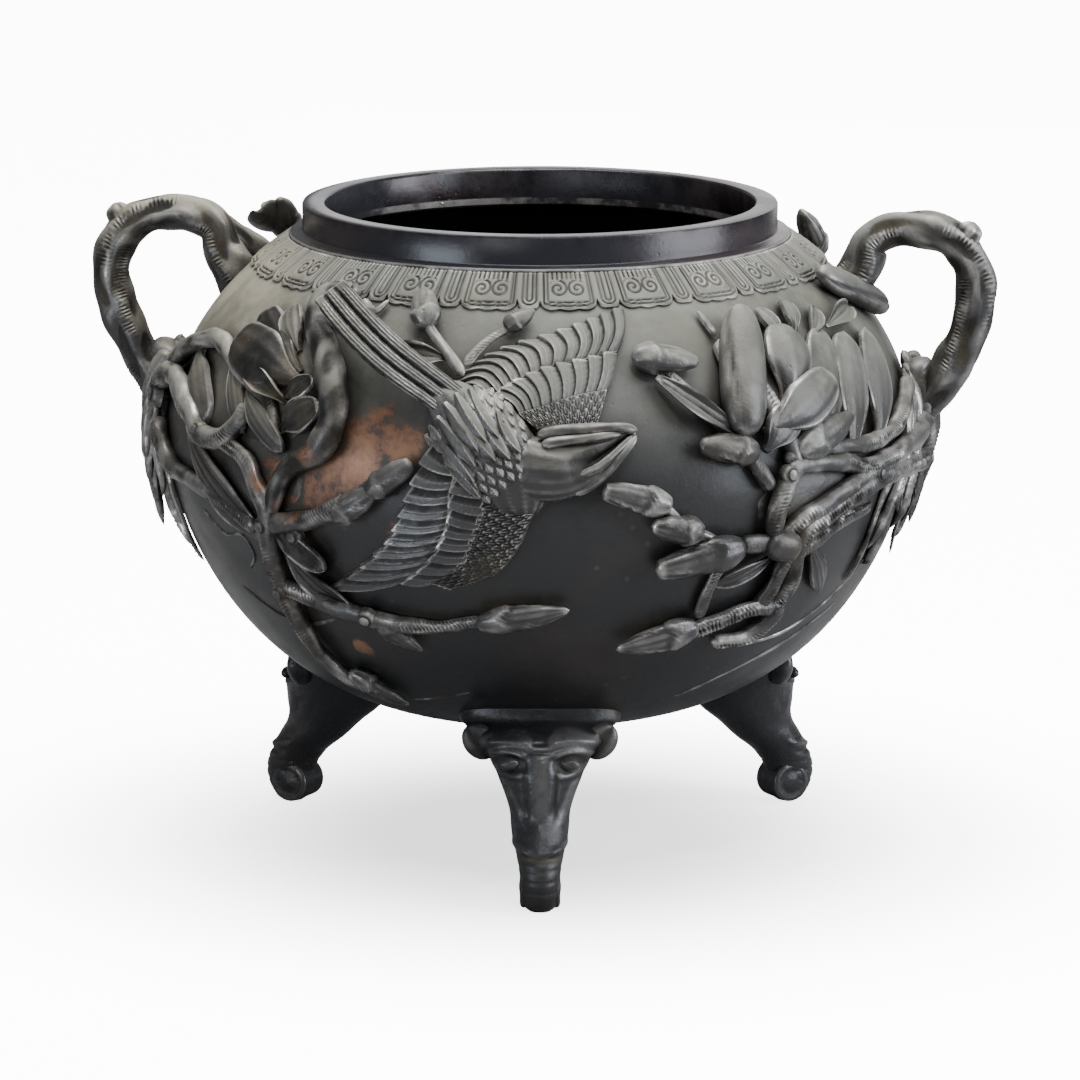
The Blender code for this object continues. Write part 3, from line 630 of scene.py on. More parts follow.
@dataclass
class Bowl:
    """The turned bowl with its neck, polished collar and lappet band."""

    segments: int = 288
    wall: float = 4.0
    rim: float = 111.0
    mouth: float = 100.4
    top: float = 304.87
    neck: float = 288.77
    neck_latitude: float = 48.26
    lappets: int = 23
    band_samples: int = 60
    band_rows: int = 34
    band_start: float = 47.66
    band_drop: float = 8.0
    proud: float = 1.5
    cut: float = 0.75
    skin_rows: int = 73

    def outline(self) -> np.ndarray:
        """The section from the bottom of the hollow, over the collar, to the bottom outside."""
        keel = np.sin(np.linspace(1, 0, 14)[:-1] * math.pi / 2)
        inside = [(0.6, SKIN.middle - SKIN.drop + self.wall)]
        for share in keel[1:]:
            height = SKIN.middle - (SKIN.drop - self.wall) * share
            full = (1 - share**SKIN.keel_power) ** SKIN.keel_fullness
            inside.append(((SKIN.belly - self.wall) * full, height))
        lip = math.degrees(math.acos((self.rim + 5.5 - self.wall) / (SKIN.belly - self.wall)))
        for turn in np.radians(np.linspace(0, lip, 12)):
            height = SKIN.middle + (SKIN.rise - self.wall) * math.sin(turn)
            inside.append(((SKIN.belly - self.wall) * math.cos(turn), height))
        shelf = inside[-1][1]
        neck = (
            (-0.15, 5.5), (0.0, 3.4), (0.9, 2.7), (4.4, 2.6), (5.6, 2.1), (6.0, 1.2), (5.6, 0.3),
            (4.9, -0.1),
        )
        collar = [
            (self.mouth + 1.5, shelf), (self.mouth, shelf + 1.2), (self.mouth, self.top - 1.3),
            (self.mouth + 0.35, self.top - 0.4), (self.mouth + 1.2, self.top),
            (self.rim - 1.6, self.top), (self.rim - 0.4, self.top - 0.35), (self.rim, self.top - 1.2),
            *((self.rim + out, self.neck + up) for out, up in neck),
        ]
        latitudes = np.concatenate([
            np.linspace(self.neck_latitude - 0.6, 0, 34),
            -90 * np.sin(np.linspace(0, math.pi / 2, self.skin_rows - 33))[1:-1],
        ])
        skin = np.stack([SKIN.radius(SKIN.height(latitudes)), SKIN.height(latitudes)], -1)
        bottom = [(0.6, SKIN.middle - SKIN.drop)]
        return np.concatenate([inside, collar, skin, bottom])

    def body(self, clay: Clay) -> None:
        """Turns the bowl, with the small unevenness of a hand-finished casting."""
        outline = self.outline()
        bearing = np.arange(self.segments) * 360 / self.segments
        radius, height = outline[:, 0][:, None], outline[:, 1][:, None]
        turn = np.radians(bearing)[None, :]
        uneven = np.sin(3 * turn + 0.021 * height) + np.sin(5 * turn - 0.034 * height + 1)
        uneven = uneven + np.sin(11 * turn + height / 17)
        outside = np.arange(len(outline)) >= len(outline) - self.skin_rows
        on_skin = outside[:, None] * step(height, 66, 80)
        radius = radius + uneven * 0.14 * on_skin
        rings = SKIN.out(bearing)[None] * radius[..., None]
        rings[..., 2] = height
        clay.rings(rings, np.zeros(rings.shape[:2]))

    def drop_of(self, place: np.ndarray) -> np.ndarray:
        """How far down the band's edge is, as a share, across one lappet and one tongue."""
        across, beside = (place - 0.36) / 0.35, (place - 0.86) / 0.13
        ripple = 0.04 * (1 - np.abs(np.cos(1.5 * math.pi * across)))
        lobe = 0.84 + 0.16 * np.clip(1 - across**4, 0, 1) ** 0.5 - ripple
        tongue = 0.82 + 0.13 * np.clip(1 - beside**4, 0, 1) ** 0.5
        return np.where(place < 0.71, lobe, np.where(np.abs(beside) < 1, tongue, 0.76))

    def engraving(self, place: np.ndarray, down: np.ndarray) -> np.ndarray:
        """The lines cut in the band: a pair of spirals in each lappet, loops in each tongue.

        Args:
            place: Shares across one lappet and one tongue.
            down: Shares from the neck to the edge.

        Returns:
            Depths from 0 to 1.
        """
        x = (place - 0.36) * 34.2
        y = down * 18.5
        edge = np.minimum(12.2 - np.abs(x), 18.2 - y - 0.35 * np.clip(np.abs(x) - 7, 0, 9))
        border = bell(edge, 1.5, 0.42) + bell(edge, 3.1, 0.36)
        found = border
        for side in (-1, 1):
            across, below = x * side - 4.3, y - 8.2
            away = np.hypot(across, below)
            angle = np.arctan2(below, across)
            spiral = 0.5 + 0.5 * np.cos(TURN * (away / 2.5 - angle / TURN))
            found = np.maximum(found, spiral**2 * (away < 4.4) * (edge > 3.6))
        bars = (0.5 + 0.5 * np.cos(TURN * x / 2.2)) ** 3 * (y < 3.4) * (edge > 3.6)
        found = np.maximum(found, bars)
        inside = (place - 0.865) * 34.2
        loop = np.hypot(np.clip(inside, -9, 9), np.clip(y - 13.0, 0, 9))
        tongue = bell(loop, 3.1, 0.4) + bell(loop, 1.3, 0.4)
        return np.clip(np.where(place < 0.735, found, tongue), 0, 1)

    def band(self, clay: Clay) -> None:
        """The raised lappet band under the collar."""
        count = self.lappets * self.band_samples
        place = np.mod(np.arange(count) / self.band_samples, 1)[None, :]
        bearing = (np.arange(count) * 360 / count)[None, :]
        share = np.concatenate([np.linspace(0, 1, self.band_rows), [1.004, 1.006, 1.0, 0.5, 0.0]])[:, None]
        down = share * self.drop_of(place)
        latitude = self.band_start + 0.5 - (self.band_drop + 0.5) * down
        rounding = 0.55 * step(share, 0.93, 1.0)
        depth = self.cut * self.engraving(place, down) * (1 - step(share, 0.97, 1.0))
        lift = self.proud - rounding - depth
        lift[self.band_rows] = 0.35
        lift[self.band_rows + 1:] = -1.2
        grid = SKIN.point(np.broadcast_to(bearing, lift.shape), latitude, lift)
        carved = np.where(share <= 1, -depth, 0.0)
        rows = np.transpose(grid, (1, 0, 2))
        index = np.arange(rows.shape[0] * rows.shape[1]).reshape(rows.shape[:2])
        across, below = np.roll(index, -1, axis=0), np.roll(index, -1, axis=1)
        quads = np.stack([index, across, np.roll(across, -1, axis=1), below], -1).reshape(-1, 4)
        clay.add(rows.reshape(-1, 3), quads, np.zeros((0, 3), int), carved.T.ravel())

    def waves(self, clay: Clay) -> None:
        """The thin lines of drifting cloud that are left on the lower wall."""
        grower = Grower(clay, 11, twig_sides=8, twig_pace=2.0)
        lines = [
            [(-64, -9, 0.9), (-58, -13, 1.1), (-53, -12, 1.1), (-51, -16, 1.0), (-54, -20, 0.9)],
            [(-60, -25, 0.8), (-52, -30, 1.0), (-44, -31, 1.1), (-36, -28, 0.9)],
            [(31, -52, 0.7), (42, -44, 1.1), (52, -38, 1.1), (64, -30, 0.9)],
            [(38, -36, 0.8), (50, -34, 1.0), (60, -27, 1.0), (70, -16, 0.8)],
            [(-30, -53, 0.7), (-21, -50, 1.0), (-14, -47, 0.8)],
        ]
        for line in lines:
            grower.branch([(b, a, r, -1.15 * r) for b, a, r in line], combs=0)

    def build(self) -> bpy.types.Object:
        """Makes the bowl's one piece."""
        clay = Clay()
        self.body(clay)
        self.band(clay)
        self.waves(clay)
        return clay.make("bowl_dressed")


# The handles and the sprays of magnolia


class Side(Enum):
    """The side of the bowl that a handle is on, as seen from the front."""

    LEFT = -1
    RIGHT = 1


@dataclass
class BranchHandle:
    """A branch bent to a handle, its bark roots, and the spray that spreads from it."""

    side: Side
    seed: int
    bearing: float = 81.5
    out: float = 28.9
    up: float = 101.2
    radius: float = 9.0
    slats: int = 21
    spikes: int = 5
    edge_turn: float = 8.2
    loop_sides: int = 44
    loop: tuple = (
        (-1.2, 0.66, 1.25), (-0.85, 0.82, 1.05), (-0.7, 0.94, 0.95), (-0.28, 1.0, 0.92),
        (0.26, 0.995, 0.94), (0.72, 0.935, 0.97), (0.98, 0.81, 1.0), (1.0, 0.65, 1.02),
        (0.8, 0.46, 1.02), (0.44, 0.28, 1.0), (0.12, 0.13, 0.95), (-0.1, -0.03, 0.8),
    )
    fork: tuple = ((0.3, 0.98, 0.7), (-0.3, 0.965, 0.75), (-0.85, 0.85, 0.8), (-1.25, 0.7, 0.95))
    fork_turns: tuple = (0, -3, -9, -14)
    stub: tuple = ((0.72, 0.9, 0.8), (0.87, 0.98, 0.62), (0.975, 1.036, 0.56))

    def __post_init__(self) -> None:
        """Makes the clay and the modeller's hand."""
        self.clay = Clay()
        self.grower = Grower(self.clay, self.seed)
        self.plane = self.bearing if self.side is Side.RIGHT else self.bearing - 180

    def in_air(self, stations: tuple, turns: tuple, combs: tuple, sides: int) -> None:
        """A branch that leaves the wall.

        Args:
            stations: Shares of the reach from the belly, of the rise from the belly line, and of
                the radius.
            turns: Degrees from the handle's plane at each station.
            combs: The angles of rows of bark cuts, from the outside of the bend towards the front.
            sides: Points round a section.
        """
        rows = [(*station, turn) for station, turn in zip(stations, turns)]

        def place(found: np.ndarray) -> np.ndarray:
            """The points of these stations."""
            line = SKIN.out(self.plane + found[:, 3]) * (SKIN.belly + found[:, :1] * self.out)
            line[:, 2] = SKIN.middle + found[:, 1] * self.up
            return line

        fine = even_flow(rows, place, self.grower.twig_pace)
        line = place(fine)
        gone = gone_along(line)
        ends = rounded(len(line), 4 / gone[-1])
        radius = fine[:, 2] * self.radius * ends
        cuts = [-self.side.value * comb for comb in combs]
        relief = self.grower.bark(gone, sides, fine[:, 2] * self.radius * 0.8, cuts, 0.5) * ends[:, None]
        ups = SKIN.out(self.plane + 90 + fine[:, 3])
        sweep(self.clay, line, ups, radius, radius, relief)

    def roots(self) -> None:
        """The bark under the handle: ridged slats down the wall with pointed tips that stand clear."""
        marks = self.grower.marks
        forward = -self.side.value
        last = self.slats - 1
        for i in range(self.slats):
            share = (i - last / 2) / (last / 2)
            half = share * (1 + 0.9 * (share > 0)) * forward
            front = float(step(np.array(share), 0.35, 0.7))
            tip = -13.5 - 6.5 * math.cos(2.4 * i) - 3.5 * front - 11 * (i == last)
            wide = 2.0 + 0.9 * math.cos(1.7 * i)
            stand = (1.5 + 2.4 * (i % 3 == 1)) * (1 - 0.6 * front)
            top = 19 - 6 * abs(share)
            reaches = ((top, 1.8), (8, 4.8), (0, 7.4), (-7, 9.4), (tip + 3, 10.6), (tip, 11.0))
            sizes = (
                (3.0, 2.0), (3.2, 1.6), (wide + 0.8, 1.2), (wide + 0.5, 1.0), (wide, 1.3), (0.6, stand)
            )
            rows = []
            for (latitude, reach), (size, clear) in zip(reaches, sizes):
                stray = marks.uniform(-0.8, 0.8)
                drop = marks.uniform(-1.0, 1.0)
                lower = clear * (1 - 0.6 * front) + 1.2 * (i % 2)
                rows.append((self.plane + half * reach + stray, latitude + drop, size, lower))
            self.grower.branch(rows, combs=1, pace=1.1, sides=10)
            if i % 2:
                short = [(b + 1.2, a + 1.5, r * 0.6, c + 2.2) for b, a, r, c in rows[1:4]]
                end = (short[-1][0], short[-1][1] - 4, 0.5, short[-1][3] + 2.6)
                self.grower.branch([*short, end], combs=1, pace=1.1, sides=9)
        edge = self.plane + self.edge_turn
        thick = 1.0 if self.side is Side.LEFT else 0.4
        self.grower.branch([
            (edge, 17, 5, 1.5), (edge, 12, 5, 2 + 3 * thick), (edge, 6, 4.4, 2 + 4 * thick),
            (edge, -1, 3.6, 2 + 3 * thick), (edge, -8, 1.6, 1.5 + 2 * thick),
        ], combs=1, sides=18)
        for i in range(self.spikes):
            start = 8.5 - 4.4 * i
            self.grower.branch([
                (edge, start + 6, 2.8, 0.6 + 2 * thick),
                (edge + 0.6, start, 2.8, 2.4 + 4.5 * thick),
                (edge + 0.4, start - 5, 2.2, 4.0 + 5 * thick),
                (edge, start - 8.5, 0.5, 5.5 + 6.5 * thick),
            ], combs=0, pace=1.1, sides=10)
        core = ((17, 9.0, 1.5), (6, 8.2, 0.0), (-6, 6.5, -1.5), (-16, 4.0, -2.0))
        self.grower.branch([(self.plane, *station) for station in core], combs=2, sides=24)

    def build(self) -> bpy.types.Object:
        """Makes the handle and its spray as one piece."""
        combs = (2.2, 0.9) if self.side is Side.LEFT else (0.8, 2.0)
        self.in_air(self.loop, (0,) * len(self.loop), combs, self.loop_sides)
        self.in_air(self.stub, (0,) * len(self.stub), (), 22)
        self.roots()
        if self.side is Side.LEFT:
            self.in_air(self.fork, self.fork_turns, (1.6,), 26)
            self.left_spray()
            return self.clay.make("branch_handle_left_dressed")
        self.right_spray()
        return self.clay.make("branch_handle_right_dressed")

    def left_spray(self) -> None:
        """Branches, blossom and buds from the left handle to the front and the back."""
        grow = self.grower
        for route in (
            [(-92, 8, 6, 0.6), (-84, 14.5, 5.2, 0.4), (-77, 20.6, 4.8), (-70.7, 24.2, 4.6),
             (-64.1, 25.4, 4.4), (-57.9, 23, 4.2), (-52.7, 20.7, 4), (-48.2, 18, 4),
             (-44.6, 15.5, 3.6), (-42.5, 9, 3.4)],
            [(-98, 3, 6.5, 1.6), (-84, 13, 6, 1.0), (-75, 15.2, 5.4), (-65.1, 10.8, 5.2),
             (-60.4, 7.4, 5), (-54.7, 7.4, 5), (-50.9, 11.3, 4.6), (-50.1, 15.5, 3.6)],
            [(-55, 7.5, 3.8), (-48.4, 5.0, 4.2), (-45.9, 1.0, 4.4), (-43.6, -3.7, 5),
             (-44, -12, 5), (-44, -25, 4.6), (-42, -41, 4), (-37, -47, 3)],
            [(-43, -7, 4.8), (-36.2, -5, 4.6), (-30.7, -2.1, 4.8), (-26.5, 0.7, 4.6),
             (-24.6, 2.8, 4), (-21.5, 4.6, 3.6)],
            [(-44, -20, 4.6), (-35, -23, 4.4), (-27, -25, 4.6), (-18, -26, 3.4), (-9, -24, 3)],
            [(-84, 4, 5, 0.2), (-74, -2, 4.6, -1), (-64, -3, 4.2, -1.4), (-55, -5, 4, -1),
             (-47, -9, 3.6, 0)],
        ):
            grow.branch(route, combs=2)
        # Painted shade: the next branch lies in the shadow of the bird's tail, so it is made darker.
        self.clay.grime_and_shade = 0.55
        grow.branch([
            (-37.9, 39, 6.4, 1.5), (-42.2, 38.1, 6.2, 1.2), (-41.3, 32.9, 6.4), (-36.6, 27.2, 6.8),
            (-32.6, 19.5, 7.2), (-32.0, 13.2, 7.0), (-33.8, 8.9, 6.2), (-38.6, 4.9, 5.2),
            (-41.3, 0, 4.4), (-43, -5, 4),
        ], combs=0, sides=28)
        self.clay.grime_and_shade = 0.0
        for route in (
            [(-101, 5, 7), (-110, 6, 6.2), (-124, 10, 5.4), (-133, 21, 4.8), (-131, 32, 4.4, 1.5),
             (-124, 37, 4, 3)],
            [(-124, 10, 5), (-138, 2, 4.6), (-152, -4, 4), (-164, -2, 3)],
        ):
            grow.branch(route, combs=2, pace=0.9)
        grow.mound((-48, 21), (13, 15), 3.2)
        grow.mound((-47, 2), (10, 9), 1.6)
        grow.bud((-10, -24), (4.5, -20.5), 6.5)
        grow.bud((-38, -41), (-29, -51), 5.5)
        grow.bud((-27, -25), (-20, -32), 5.0)
        grow.bud((-30.5, -3.4), (-24, 2.2), 6.4, clear=2.2, blunt=0.7)
        grow.bud((-25, 1.6), (-18.4, 8.2), 6.0, clear=2.4, blunt=0.8)
        grow.bud((-125, 36.5), (-117, 43), 7.5, clear=3, rise=11)
        grow.bud((-163, -2), (-177, 3), 8, rise=4)
        self.clay.grime_and_shade = 0.8
        grow.lobe((-40, 21), (-60, 27.5), 28, (3, 7.5, 3.5), 4.2, lip=0.5)
        grow.lobe((-41, 23), (-57, 34), 18, (3, 6, 3.5), 2.8, lip=0.5)
        self.clay.grime_and_shade = 0.3
        grow.lobe((-43, 27), (-50, 35.6), 12, (3.4, 7, 4), 1.6)
        grow.lobe((-41, 16.8), (-54, 23), 11, (6, 9.5, 6.5), -1.4, lip=1.2)
        grow.lobe((-41.5, 17.5), (-36.4, 21.6), 10, (7, 9, 8.5), -1.6, lip=1.2)
        grow.lobe((-41.5, 11.5), (-34.6, 17.4), 16, (4.5, 8, 7), -1.8, lip=1.3)
        grow.lobe((-51, 18), (-40.6, 7.6), 12, (4, 6.5, 4), 1.6, lip=0.6)
        grow.lobe((-58, 24), (-50, 9.5), 11, (3, 5.5, 3.5), 1.4, lip=0.6, bow=-2)
        grow.lobe((-43, -5), (-34, -15), 13, (4, 8, 5), -1.8, lip=1.0)
        grow.blade((-42, -12), (-31.5, -23), 12, (3, 6, 3), 2.4, point=0.8)
        grow.blade((-41, -18), (-31, -25), 9, (2.4, 4.4, 2.4), 2, point=0.9)
        grow.blade((-66, 6), (-46.5, -11), 20, (2.4, 4.6, 2.6), -1.4, point=0.6)
        grow.lobe((-72, 22), (-61, 9), 24, (2.4, 3.6, 2), 2.0, lip=0.4)
        grow.blade((-124, 37), (-112, 41), 18, (9, 15, 19), 3)
        grow.lobe((-131, 25), (-149, 32), 22, (4, 9, 6), -2.4, lip=1.2)
        grow.lobe((-130, 19), (-148, 12), 22, (4, 8, 5), 2.4)
        grow.lobe((-132, 22), (-152, 22), 16, (5, 11, 7), -2)
        for place in (
            (-44, -7, 4.6), (-38, -8, 4.2), (-44, -21, 4.4), (-28, -24, 4.4), (-60, 8, 4.0),
            (-84, 9, 5.0), (-38, 40, 4.4),
        ):
            grow.knot(*place, clear=4.5)
        grow.branch([(-35, 39, 2.4, 2), (-31.5, 37, 1.8, 2), (-30, 40, 1.2, 1.4)], combs=0, sides=12)
        grow.branch([(-31.8, 37.2, 1.8, 2), (-31.5, 33.5, 1.2, 1.4)], combs=0, sides=12)

    def right_spray(self) -> None:
        """Branches, the large blossom and buds from the right handle."""
        grow = self.grower
        for route in (
            [(84, 6, 7, 1.2), (70, 3, 5.4), (57, 1.5, 4.8), (50, 3.8, 4.4), (44, 4.6, 4.2),
             (39.5, 4.2, 4.8), (36.8, -1.5, 4.8), (36, -6, 4.8), (37, -10, 4.2)],
            [(41, -23, 4), (40.5, -27, 4.4), (37, -31, 4.2), (30, -31.5, 3.4)],
            [(41, 4, 4), (38, 14, 4.4), (36, 22, 4)],
            [(78, 14, 4.4, 0.6), (66, 7.4, 4.2), (56, 6.2, 4), (46, 7.4, 4), (38, 6.4, 4)],
            [(30.5, -9, 4), (34, -9.4, 4.2), (37, -9.8, 4.4)],
        ):
            grow.branch(route, combs=2)
        for route in (
            [(82, -2, 6, 1), (66, -1, 5), (58, -1.5, 5), (50, -4.2, 4.8), (43.5, -8, 4.8),
             (41.5, -12, 4.8), (42, -19, 4.6), (40, -23.5, 4.4), (34.5, -24.2, 4.2),
             (26, -27.5, 3.8), (22, -29, 3)],
            [(62, 2, 4), (56, 0.5, 4.4), (47, -3, 4.6), (40.5, -6.5, 4.4), (37, -10, 4.2)],
            [(58, -6, 3.4), (50, -8, 4), (43, -12, 4), (39.5, -15, 4), (38.4, -20.5, 4),
             (36.5, -25, 3.2)],
        ):
            grow.branch(route, combs=4)
        for route in (
            [(29, -10, 2.6), (27, -17, 2.6), (26, -25, 2.6)], [(35.5, 1, 3.6), (33, 6, 3.4), (31, 9, 3)],
            [(31, 9, 2.4), (22, 24, 2.2), (17, 28, 2.2)], [(28, -9, 2.6), (22, -5, 2.4), (18, 0, 2.2)],
        ):
            grow.branch(route, sides=14)
        for route in (
            [(88, 4, 6.5), (104, 6, 5.4), (116, 12, 5), (123, 23, 4.4), (118, 34, 3.8, 1.5)],
            [(116, 12, 5), (130, 4, 4.6), (146, 2, 4), (160, 10, 3)],
        ):
            grow.branch(route, pace=0.9)
        grow.bud((33, 8.5), (23.5, 11), 7.0, blunt=0.6)
        grow.bud((31, -9), (17, -12.5), 8.0, blunt=0.9)
        grow.bud((24, -5.5), (16, -3.5), 6.5, blunt=0.5)
        grow.bud((19, 0), (8.8, 3.4), 6.4, blunt=0.9)
        grow.bud((14.8, 28.5), (26, 26.5), 7.0, blunt=0.3)
        grow.pod((40.6, -10.4), (34.6, -9.2), 7.2, clear=2.2)
        grow.blade((37, -13), (27.5, -17.5), 9, (2.6, 4.6, 2.4), 2, point=0.7)
        grow.bud((26, -26), (12.5, -30.5), 7.0)
        grow.bud((40, 7.5), (53, 12.5), 7.5, clear=1.6)
        grow.pod((86, 27.5), (66.5, 39.5), 7.8, clear=1.0, full_ends=5)
        grow.bud((119, 33), (112, 44), 7.5, clear=1.5, rise=6)
        grow.bud((159, 9), (170, 15), 6.5)
        grow.mound((47, 19), (17, 17), 4.2)
        grow.mound((47, -3), (13, 9), 2.0)
        self.clay.grime_and_shade = 0.12
        grow.pod((30.4, 11.8), (36.6, 35.6), 11.6, clear=1.0, rise=1.5)
        self.clay.grime_and_shade = 0.0
        grow.lobe((33, 15), (31.5, 31), 12, (3, 6, 3), 2.0)
        grow.lobe((40, 17.5), (44.6, 32), 24, (5, 9, 6), 4.4, lip=0.3)
        grow.lobe((35, 12), (50, 20.5), 22, (5, 10.5, 8), 4.0, lip=1.2)
        grow.lobe((34.5, 8.6), (40, 16), 17, (5, 8, 7), 1.6, lip=0.9)
        grow.lobe((46, 6), (54, 30), 22, (4, 7, 4.5), 1.6, lip=0.6, bow=-4.4)
        grow.lobe((52, 4), (61, 28), 23, (3.6, 6.6, 4), 1.6, lip=0.6, bow=-5.4)
        grow.lobe((60, 5), (70, 27), 23, (3.2, 6, 3.6), 1.4, lip=0.5, bow=-5)
        grow.lobe((44, 29), (43, 36.5), 9, (4, 6, 3), 1.2, lip=0.6)
        grow.lobe((48, 30), (50.5, 37), 9, (4, 6.5, 3), 1.2, lip=0.6)
        grow.lobe((52, 29), (58, 34), 9, (4, 6.5, 3), -1.0, lip=0.8)
        grow.blade((58, 30), (69, 32), 11, (3, 6, 4), 2.4, point=0.7)
        grow.branch([(31.5, 32, 1.8, 1.5), (30, 37.5, 1.2, 1.5)], combs=0, sides=12)
        grow.blade((31.5, 12), (18.5, 24.5), 9.5, (4.5, 8, 4.5), 1.8, bow=-2.4, point=0.4)
        grow.branch([(31, 13, 2.2, 2.5), (25, 17.5, 2.2, 5), (19, 24, 1.8, 3)], combs=0, sides=14)
        grow.blade((45, -12), (52, -24), 11, (3, 5, 3), -1.6, point=0.8)
        grow.lobe((121, 25), (141, 31), 22, (4, 9, 6), -2.4, lip=1.2)
        grow.lobe((120, 19), (146, 15), 20, (4, 8, 5), 2.4)
        grow.lobe((122, 22), (145, 23), 15, (5, 11, 7), -2)
        for place in ((38, 3.6, 4.6), (58, 0, 4.2), (40, -24, 4.0)):
            grow.knot(*place, clear=4.5)


# The bird


@dataclass
class Bird:
    """The bird in flight across the front, with the two sprigs behind its back.

    A wing has three parts, each from the body to the wing's tip: small scales by the front edge, a
    row of coverts, and the long flights, whose ends make the back edge.
    """

    lower_front: tuple = (
        (0.6, 8), (0.5, 1.6), (-1.2, -2.4), (-3.1, -8.2), (-6.9, -14.1), (-13.4, -17)
    )
    lower_inner: tuple = (
        (-4.8, 8), (-7, 2.6), (-8.4, -2.8), (-9.6, -6.4), (-11.2, -11), (-16.1, -15.4)
    )
    lower_divider: tuple = (
        (-11.2, 8.5), (-12.6, 3.5), (-12.9, -1.6), (-14.2, -6.2), (-16.6, -11), (-21, -15.8)
    )
    lower_back: tuple = (
        (-16.4, 12.5), (-19.2, 4), (-21.2, -2.4), (-23.8, -8.2), (-28.6, -13.8), (-35.3, -19.7)
    )
    upper_front: tuple = ((0, 14.6), (2.6, 14.9), (5.5, 15.3), (8.4, 15.8))
    upper_inner: tuple = ((-2.9, 17.6), (0.3, 18.8), (5.0, 20.8), (10.2, 22.0))
    upper_divider: tuple = ((-7.4, 20.8), (-3.9, 24.1), (1.1, 27.0), (7.0, 28.6), (12.8, 30.2))
    upper_back: tuple = (
        (-14.2, 21.0), (-12.4, 26.8), (-6.7, 31.4), (1.9, 34.9), (9.4, 38.0), (16.2, 40.6)
    )
    tail_line: tuple = (
        (-8, 15, 9, 15), (-14.6, 20.6, 12, 16.5), (-23.8, 26.8, 15, 18), (-33, 33.2, 17, 18),
        (-38.4, 36.6, 17.5, 16.5),
    )
    spine: tuple = (
        (-16.5, 22.5, 6.5, 8), (-12.4, 18, 5, 14.5), (-8.8, 14, 3.5, 19), (-6.2, 9.5, 2.5, 19.5),
        (-3.8, 5, 2.0, 17), (-2.4, 1, 1.5, 12), (-1.8, -2, 1, 7),
    )
    skull: tuple = (
        (-3.4, 8.2, 2.5, 14.5), (0.2, 7.6, 4.2, 14.4), (3.4, 7.6, 5.2, 13.0), (6.4, 8.6, 6.0, 10.4),
        (9.0, 10.3, 6.4, 7.4), (11.2, 12.2, 6.8, 4.6), (12.7, 13.6, 7.0, 2.8), (13.8, 14.4, 7.2, 1.6),
    )
    back_feathers: tuple = (
        (14, -16, 20, 8.0, -1.8), (13, 14, 19, 8.0, 2.2), (9, 8, 22, 8.4, 1.8), (1, -13, 27, 8.4, -1.6),
        (-2, -7.5, 26, 8.6, -1.2), (6, 2, 22, 8.6, 1.2), (-4, -2, 25, 8.8, -0.6), (-4, 4, 24, 8.4, 0.6),
        (-2, 10, 24, 8.2, 1.4),
    )
    body_axis: tuple = (0.67, -0.75)
    degree_across: float = 3.05
    degree_up: float = 2.2
    body_depth: float = 0.66

    def __post_init__(self) -> None:
        """Makes the clay and the modeller's hand, and lays out the body's middle line."""
        self.clay = Clay()
        self.grower = Grower(self.clay, 5)
        self.middle = flow(self.spine, 60)

    def shingles(
        self, roots: tuple, tips: tuple, count: int, lifts: tuple, rise: float, bows: tuple,
        edge_first: bool,
    ) -> None:
        """A row of overlapping feathers, made as one sheet whose feathers step down from each other.

        Args:
            roots: Places along the line of their roots, from the body to the wing's tip.
            tips: Places along the line of their tips.
            count: How many there are.
            lifts: The lifts at root and tip by the body, then at the wing's tip.
            rise: How much a feather's free edge stands above the next one.
            bows: How far the first and the last feather bow sideways.
            edge_first: Whether the free edge is the one nearer to the body.
        """
        inside = np.array([
            0, 0.02, 0.06, 0.13, 0.22, 0.32, 0.42, 0.5, 0.56, 0.64, 0.74, 0.84, 0.92, 0.97, 0.99, 1.0
        ])
        index = np.repeat(np.arange(count), len(inside))
        free = np.tile(inside, count)
        share = (index + np.clip(free, 0.004, 0.996)) / count
        if edge_first:
            free = 1 - free
        starts, ends = flow(roots, share), flow(tips, share)
        columns = 24
        out = np.linspace(0, 1, columns)[None, :]
        reach = (1 - 0.1 * (1 - free) ** 1.4 - 0.025 * step(free, 0.9, 1))[:, None]
        along = out * reach
        places = starts[:, None] + (ends - starts)[:, None] * along[:, :, None]
        by_body, by_tip = np.array(lifts[:2]), np.array(lifts[2:])
        edge = by_body + (by_tip - by_body) * share[:, None]
        lift = edge[:, :1] + (edge[:, 1:] - edge[:, :1]) * along
        level = 0.12 + 0.88 * free**1.15 - 0.22 * step(free, 0.93, 1.0) ** 2
        level = level[:, None] * (0.45 + 0.55 * step(out, 0, 0.12)) * (1 - 0.55 * step(out, 0.93, 1.0) ** 2)
        shaft = 0.2 * bell(free, 0.5, 0.045)[:, None] * step(out, 0, 0.1) * (1 - step(out, 0.9, 1))
        length = np.linalg.norm(SKIN.point(*starts.T, 0) - SKIN.point(*ends.T, 0), axis=-1)[:, None]
        slant = along * length / 1.15 + np.abs(free[:, None] - 0.5) * 2.2
        barbs = 0.055 * np.cos(TURN * slant) * (1 - bell(free, 0.5, 0.07))[:, None]
        relief = rise * level + shaft + barbs
        fade = 1 - step(out, 0.94, 1.0) ** 2
        bearing, latitude = places[..., 0], places[..., 1]
        normal = SKIN.normal(bearing, latitude)
        side = sideways(SKIN.point(bearing, latitude, 0), normal, axis=1)
        bow = bows[0] + (bows[1] - bows[0]) * share[:, None]
        bent = side * (bow * np.sin(math.pi * out) * reach)[:, :, None]
        points = SKIN.point(bearing, latitude, (lift + relief) * (0.35 + 0.65 * fade)) + bent
        base = SKIN.point(bearing, latitude, -0.4) + bent
        self.clay.sheet(points, base, relief - 0.5 * rise)

